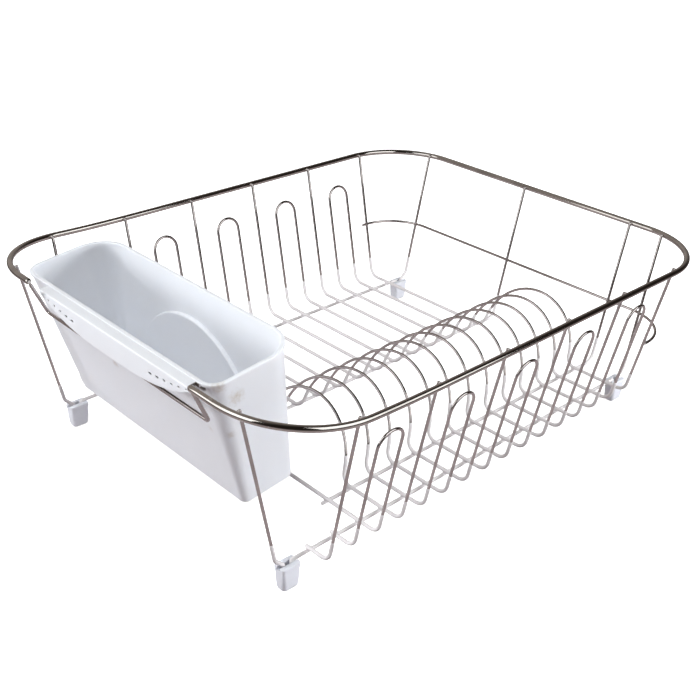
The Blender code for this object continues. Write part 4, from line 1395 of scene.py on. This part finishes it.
def make_cup(material):
    """The moulded cup with its raised panel, drain slots and hook, in one piece."""
    centre = Vector((skirt_face_x() + CUP_MOUTH_REACH, HOOK_MIDDLE_Y + CUP_SHIFT_Y, CUP_MOUTH_Z))
    place = Matrix.Translation(centre) @ Matrix.Rotation(-CUP_LEAN, 4, "Y")
    cup, cavity = cup_shell(material), cup_cavity()
    cut(cavity, panel_disc("raised_panel", PANEL_R, -CUT_OVERRUN, CUP_WALL + PANEL_DEPTH))
    tools = [cavity, panel_disc("panel_recess", PANEL_R - CUP_WALL, -CUT_OVERRUN, PANEL_DEPTH), drain_slots()]
    for piece in (cup, *tools):
        piece.data.transform(place)
    cut(cup, hook_block(), "UNION")
    for tool in tools:
        cut(cup, tool)
    shade_walls(cup, CUP_SHARP)
    stand_for(finished_mesh(cup, "moulded_cup"), "cup", "cup_plastic", "cutlery_cup")


# Studio

def make_floor():
    """Pale floor: near white to the camera, and a grey that falls off where the plating mirrors it."""
    shape = bmesh.new()
    bmesh.ops.create_grid(shape, x_segments=FLOOR_CUTS, y_segments=FLOOR_CUTS, size=FLOOR_HALF)
    look = Material("pale_floor")
    rays = look.add("ShaderNodeLightPath").outputs
    seen, mirrored = rays["Is Camera Ray"], rays["Is Glossy Ray"]
    far = look.ramp(look.vectors("LENGTH", look.place()), FLOOR_NEAR, FLOOR_FAR)
    matt = look.mix(mirrored, FLOOR_BOUNCE, BLACK)
    glow = look.mix(seen, BLACK, FLOOR_GLOW)
    look.set(
        Base_Color=look.mix(seen, matt, FLOOR_PALE),
        Roughness=MATT,
        Specular_IOR_Level=0.0,
        Emission_Color=look.mix(mirrored, glow, look.mix(far, FLOOR_GREY, FLOOR_DARK)),
        Emission_Strength=1.0)
    solid_from("studio_floor", shape, look.made)


def make_backdrop():
    """Pale wall round the floor, for low views. Only the camera sees it."""
    shape = bmesh.new()
    middle = Matrix.Translation((0, 0, BACKDROP_HEIGHT / 2 - BACKDROP_SINK))
    bmesh.ops.create_cone(
        shape, segments=BACKDROP_SIDES, radius1=BACKDROP_R, radius2=BACKDROP_R, depth=BACKDROP_HEIGHT,
        matrix=middle)
    look = Material("pale_backdrop")
    seen = look.add("ShaderNodeLightPath").outputs["Is Camera Ray"]
    look.set(
        Base_Color=BLACK,
        Specular_IOR_Level=0.0,
        Emission_Color=look.mix(seen, BLACK, BACKDROP_PALE),
        Emission_Strength=1.0)
    wall = solid_from("studio_backdrop", shape, look.made)
    wall.visible_glossy = wall.visible_diffuse = wall.visible_shadow = False


def make_lamp(name, place, aim, size, power, colour, mirrored):
    """Area light that is only mirrored in the plating, or only lights the matt surfaces."""
    data = bpy.data.lights.new(name, "AREA")
    data.shape = "RECTANGLE"
    data.size, data.size_y = size
    data.energy = power
    data.color = colour
    lamp = link_object(name, data)
    lamp.visible_glossy = mirrored
    lamp.visible_diffuse = not mirrored
    lamp.location = place
    lamp.rotation_mode = "QUATERNION"
    lamp.rotation_quaternion = (Vector(place) - Vector(aim)).to_track_quat("Z", "Y")


def make_room():
    """Dim room whose far side, where the backdrop hangs, is paler."""
    world = bpy.data.worlds.new("studio_room")
    world.use_nodes = True
    room = Graph(world.node_tree)
    outward = room.add("ShaderNodeTexCoord").outputs["Generated"]
    facing = room.vectors("DOT_PRODUCT", outward, ROOM_PALE_SIDE)
    share = room.ramp(facing, *ROOM_PALE_SPAN)
    room.join(room.mix(share, ROOM_DARK, ROOM_PALE), room.tree.nodes["Background"].inputs["Color"])
    bpy.context.scene.world = world
    bpy.context.scene.view_settings.view_transform = "Standard"


def make_camera():
    """The photo's camera, as fitted to the points of the wires."""
    data = bpy.data.cameras.new("photo_camera")
    data.sensor_width = CAMERA_SENSOR
    data.lens = CAMERA_LENS
    data.clip_end = CAMERA_REACH
    camera = link_object("photo_camera", data)
    right, up, ahead = (Vector(axis) for axis in CAMERA_AXES)
    turn = Matrix((right, up, -ahead)).transposed()
    camera.matrix_world = Matrix.Translation(CAMERA_PLACE) @ turn.to_4x4()
    bpy.context.scene.camera = camera


def cup_stains_and_painted_shade():
    """Layers on the cup's plastic: painted shade in the hook's channel and its open end, and stains."""
    face_x, front_y = skirt_face_x(), HOOK_MIDDLE_Y - HOOK_HALF_Y
    low = (face_x + SHADE_BOX_INSET, front_y - SHADE_BOX_PAST_END, HOOK_TOP_Z - SKIRT_DROP)
    roof_z = HOOK_TOP_Z - HOOK_STEP - HOOK_WALL
    channel = (face_x + SHADE_BOX_DEPTH, HOOK_MIDDLE_Y + HOOK_HALF_Y, roof_z + SHADE_BOX_OVER)
    mouth = (face_x + HOOK_REACH, front_y + HOOK_MOUTH + SHADE_BOX_OVER, HOOK_TOP_Z + SHADE_BOX_OVER_TOP)
    shade_box, blot = crevice(), stain()
    layers = []
    # Painted shade: the hook's channel and its open end are coloured dark where they lie in shadow
    for high in (channel, mouth):
        layers.append((shade_box, PAINTED_CHANNEL_SHADE, {"Low_corner": low, "High_corner": high}))
    for centre, reach, strength in STAINS:
        layers.append((blot, STAIN, {"Centre": centre, "Reach": reach, "Strength": strength}))
    return layers


round_wire, weld_beads, slot_cutters = round_wire_tree(), beads_tree(), slots_tree()
marks, lines, grain = water_marks(), draw_lines(), moulded_grain()

thin_chrome = chrome("thin_wire_chrome", marks, lines, *THIN_CHROME)
heavy_chrome = chrome("rim_chrome", marks, lines, *HEAVY_CHROME)
dip_white = plastic("dip_coat_white", grain, *DIP_WHITE)
foot_white = plastic("foot_plastic_white", grain, *FOOT_WHITE)
cup_white = plastic("cup_plastic_white", grain, *CUP_WHITE, cup_stains_and_painted_shade())

make_dipped_wires(thin_chrome, dip_white)
make_plain_wires(thin_chrome, heavy_chrome)
make_welds(thin_chrome, dip_white)
for side_y, depth_name in ((-1, "front"), (1, "back")):
    for side_x, hand in ((-1, "left"), (1, "right")):
        make_foot(depth_name + "_" + hand, side_x, side_y, foot_white)
make_cup(cup_white)

make_floor()
make_backdrop()
make_room()
for lamp in LAMPS:
    make_lamp(*lamp)
make_camera()
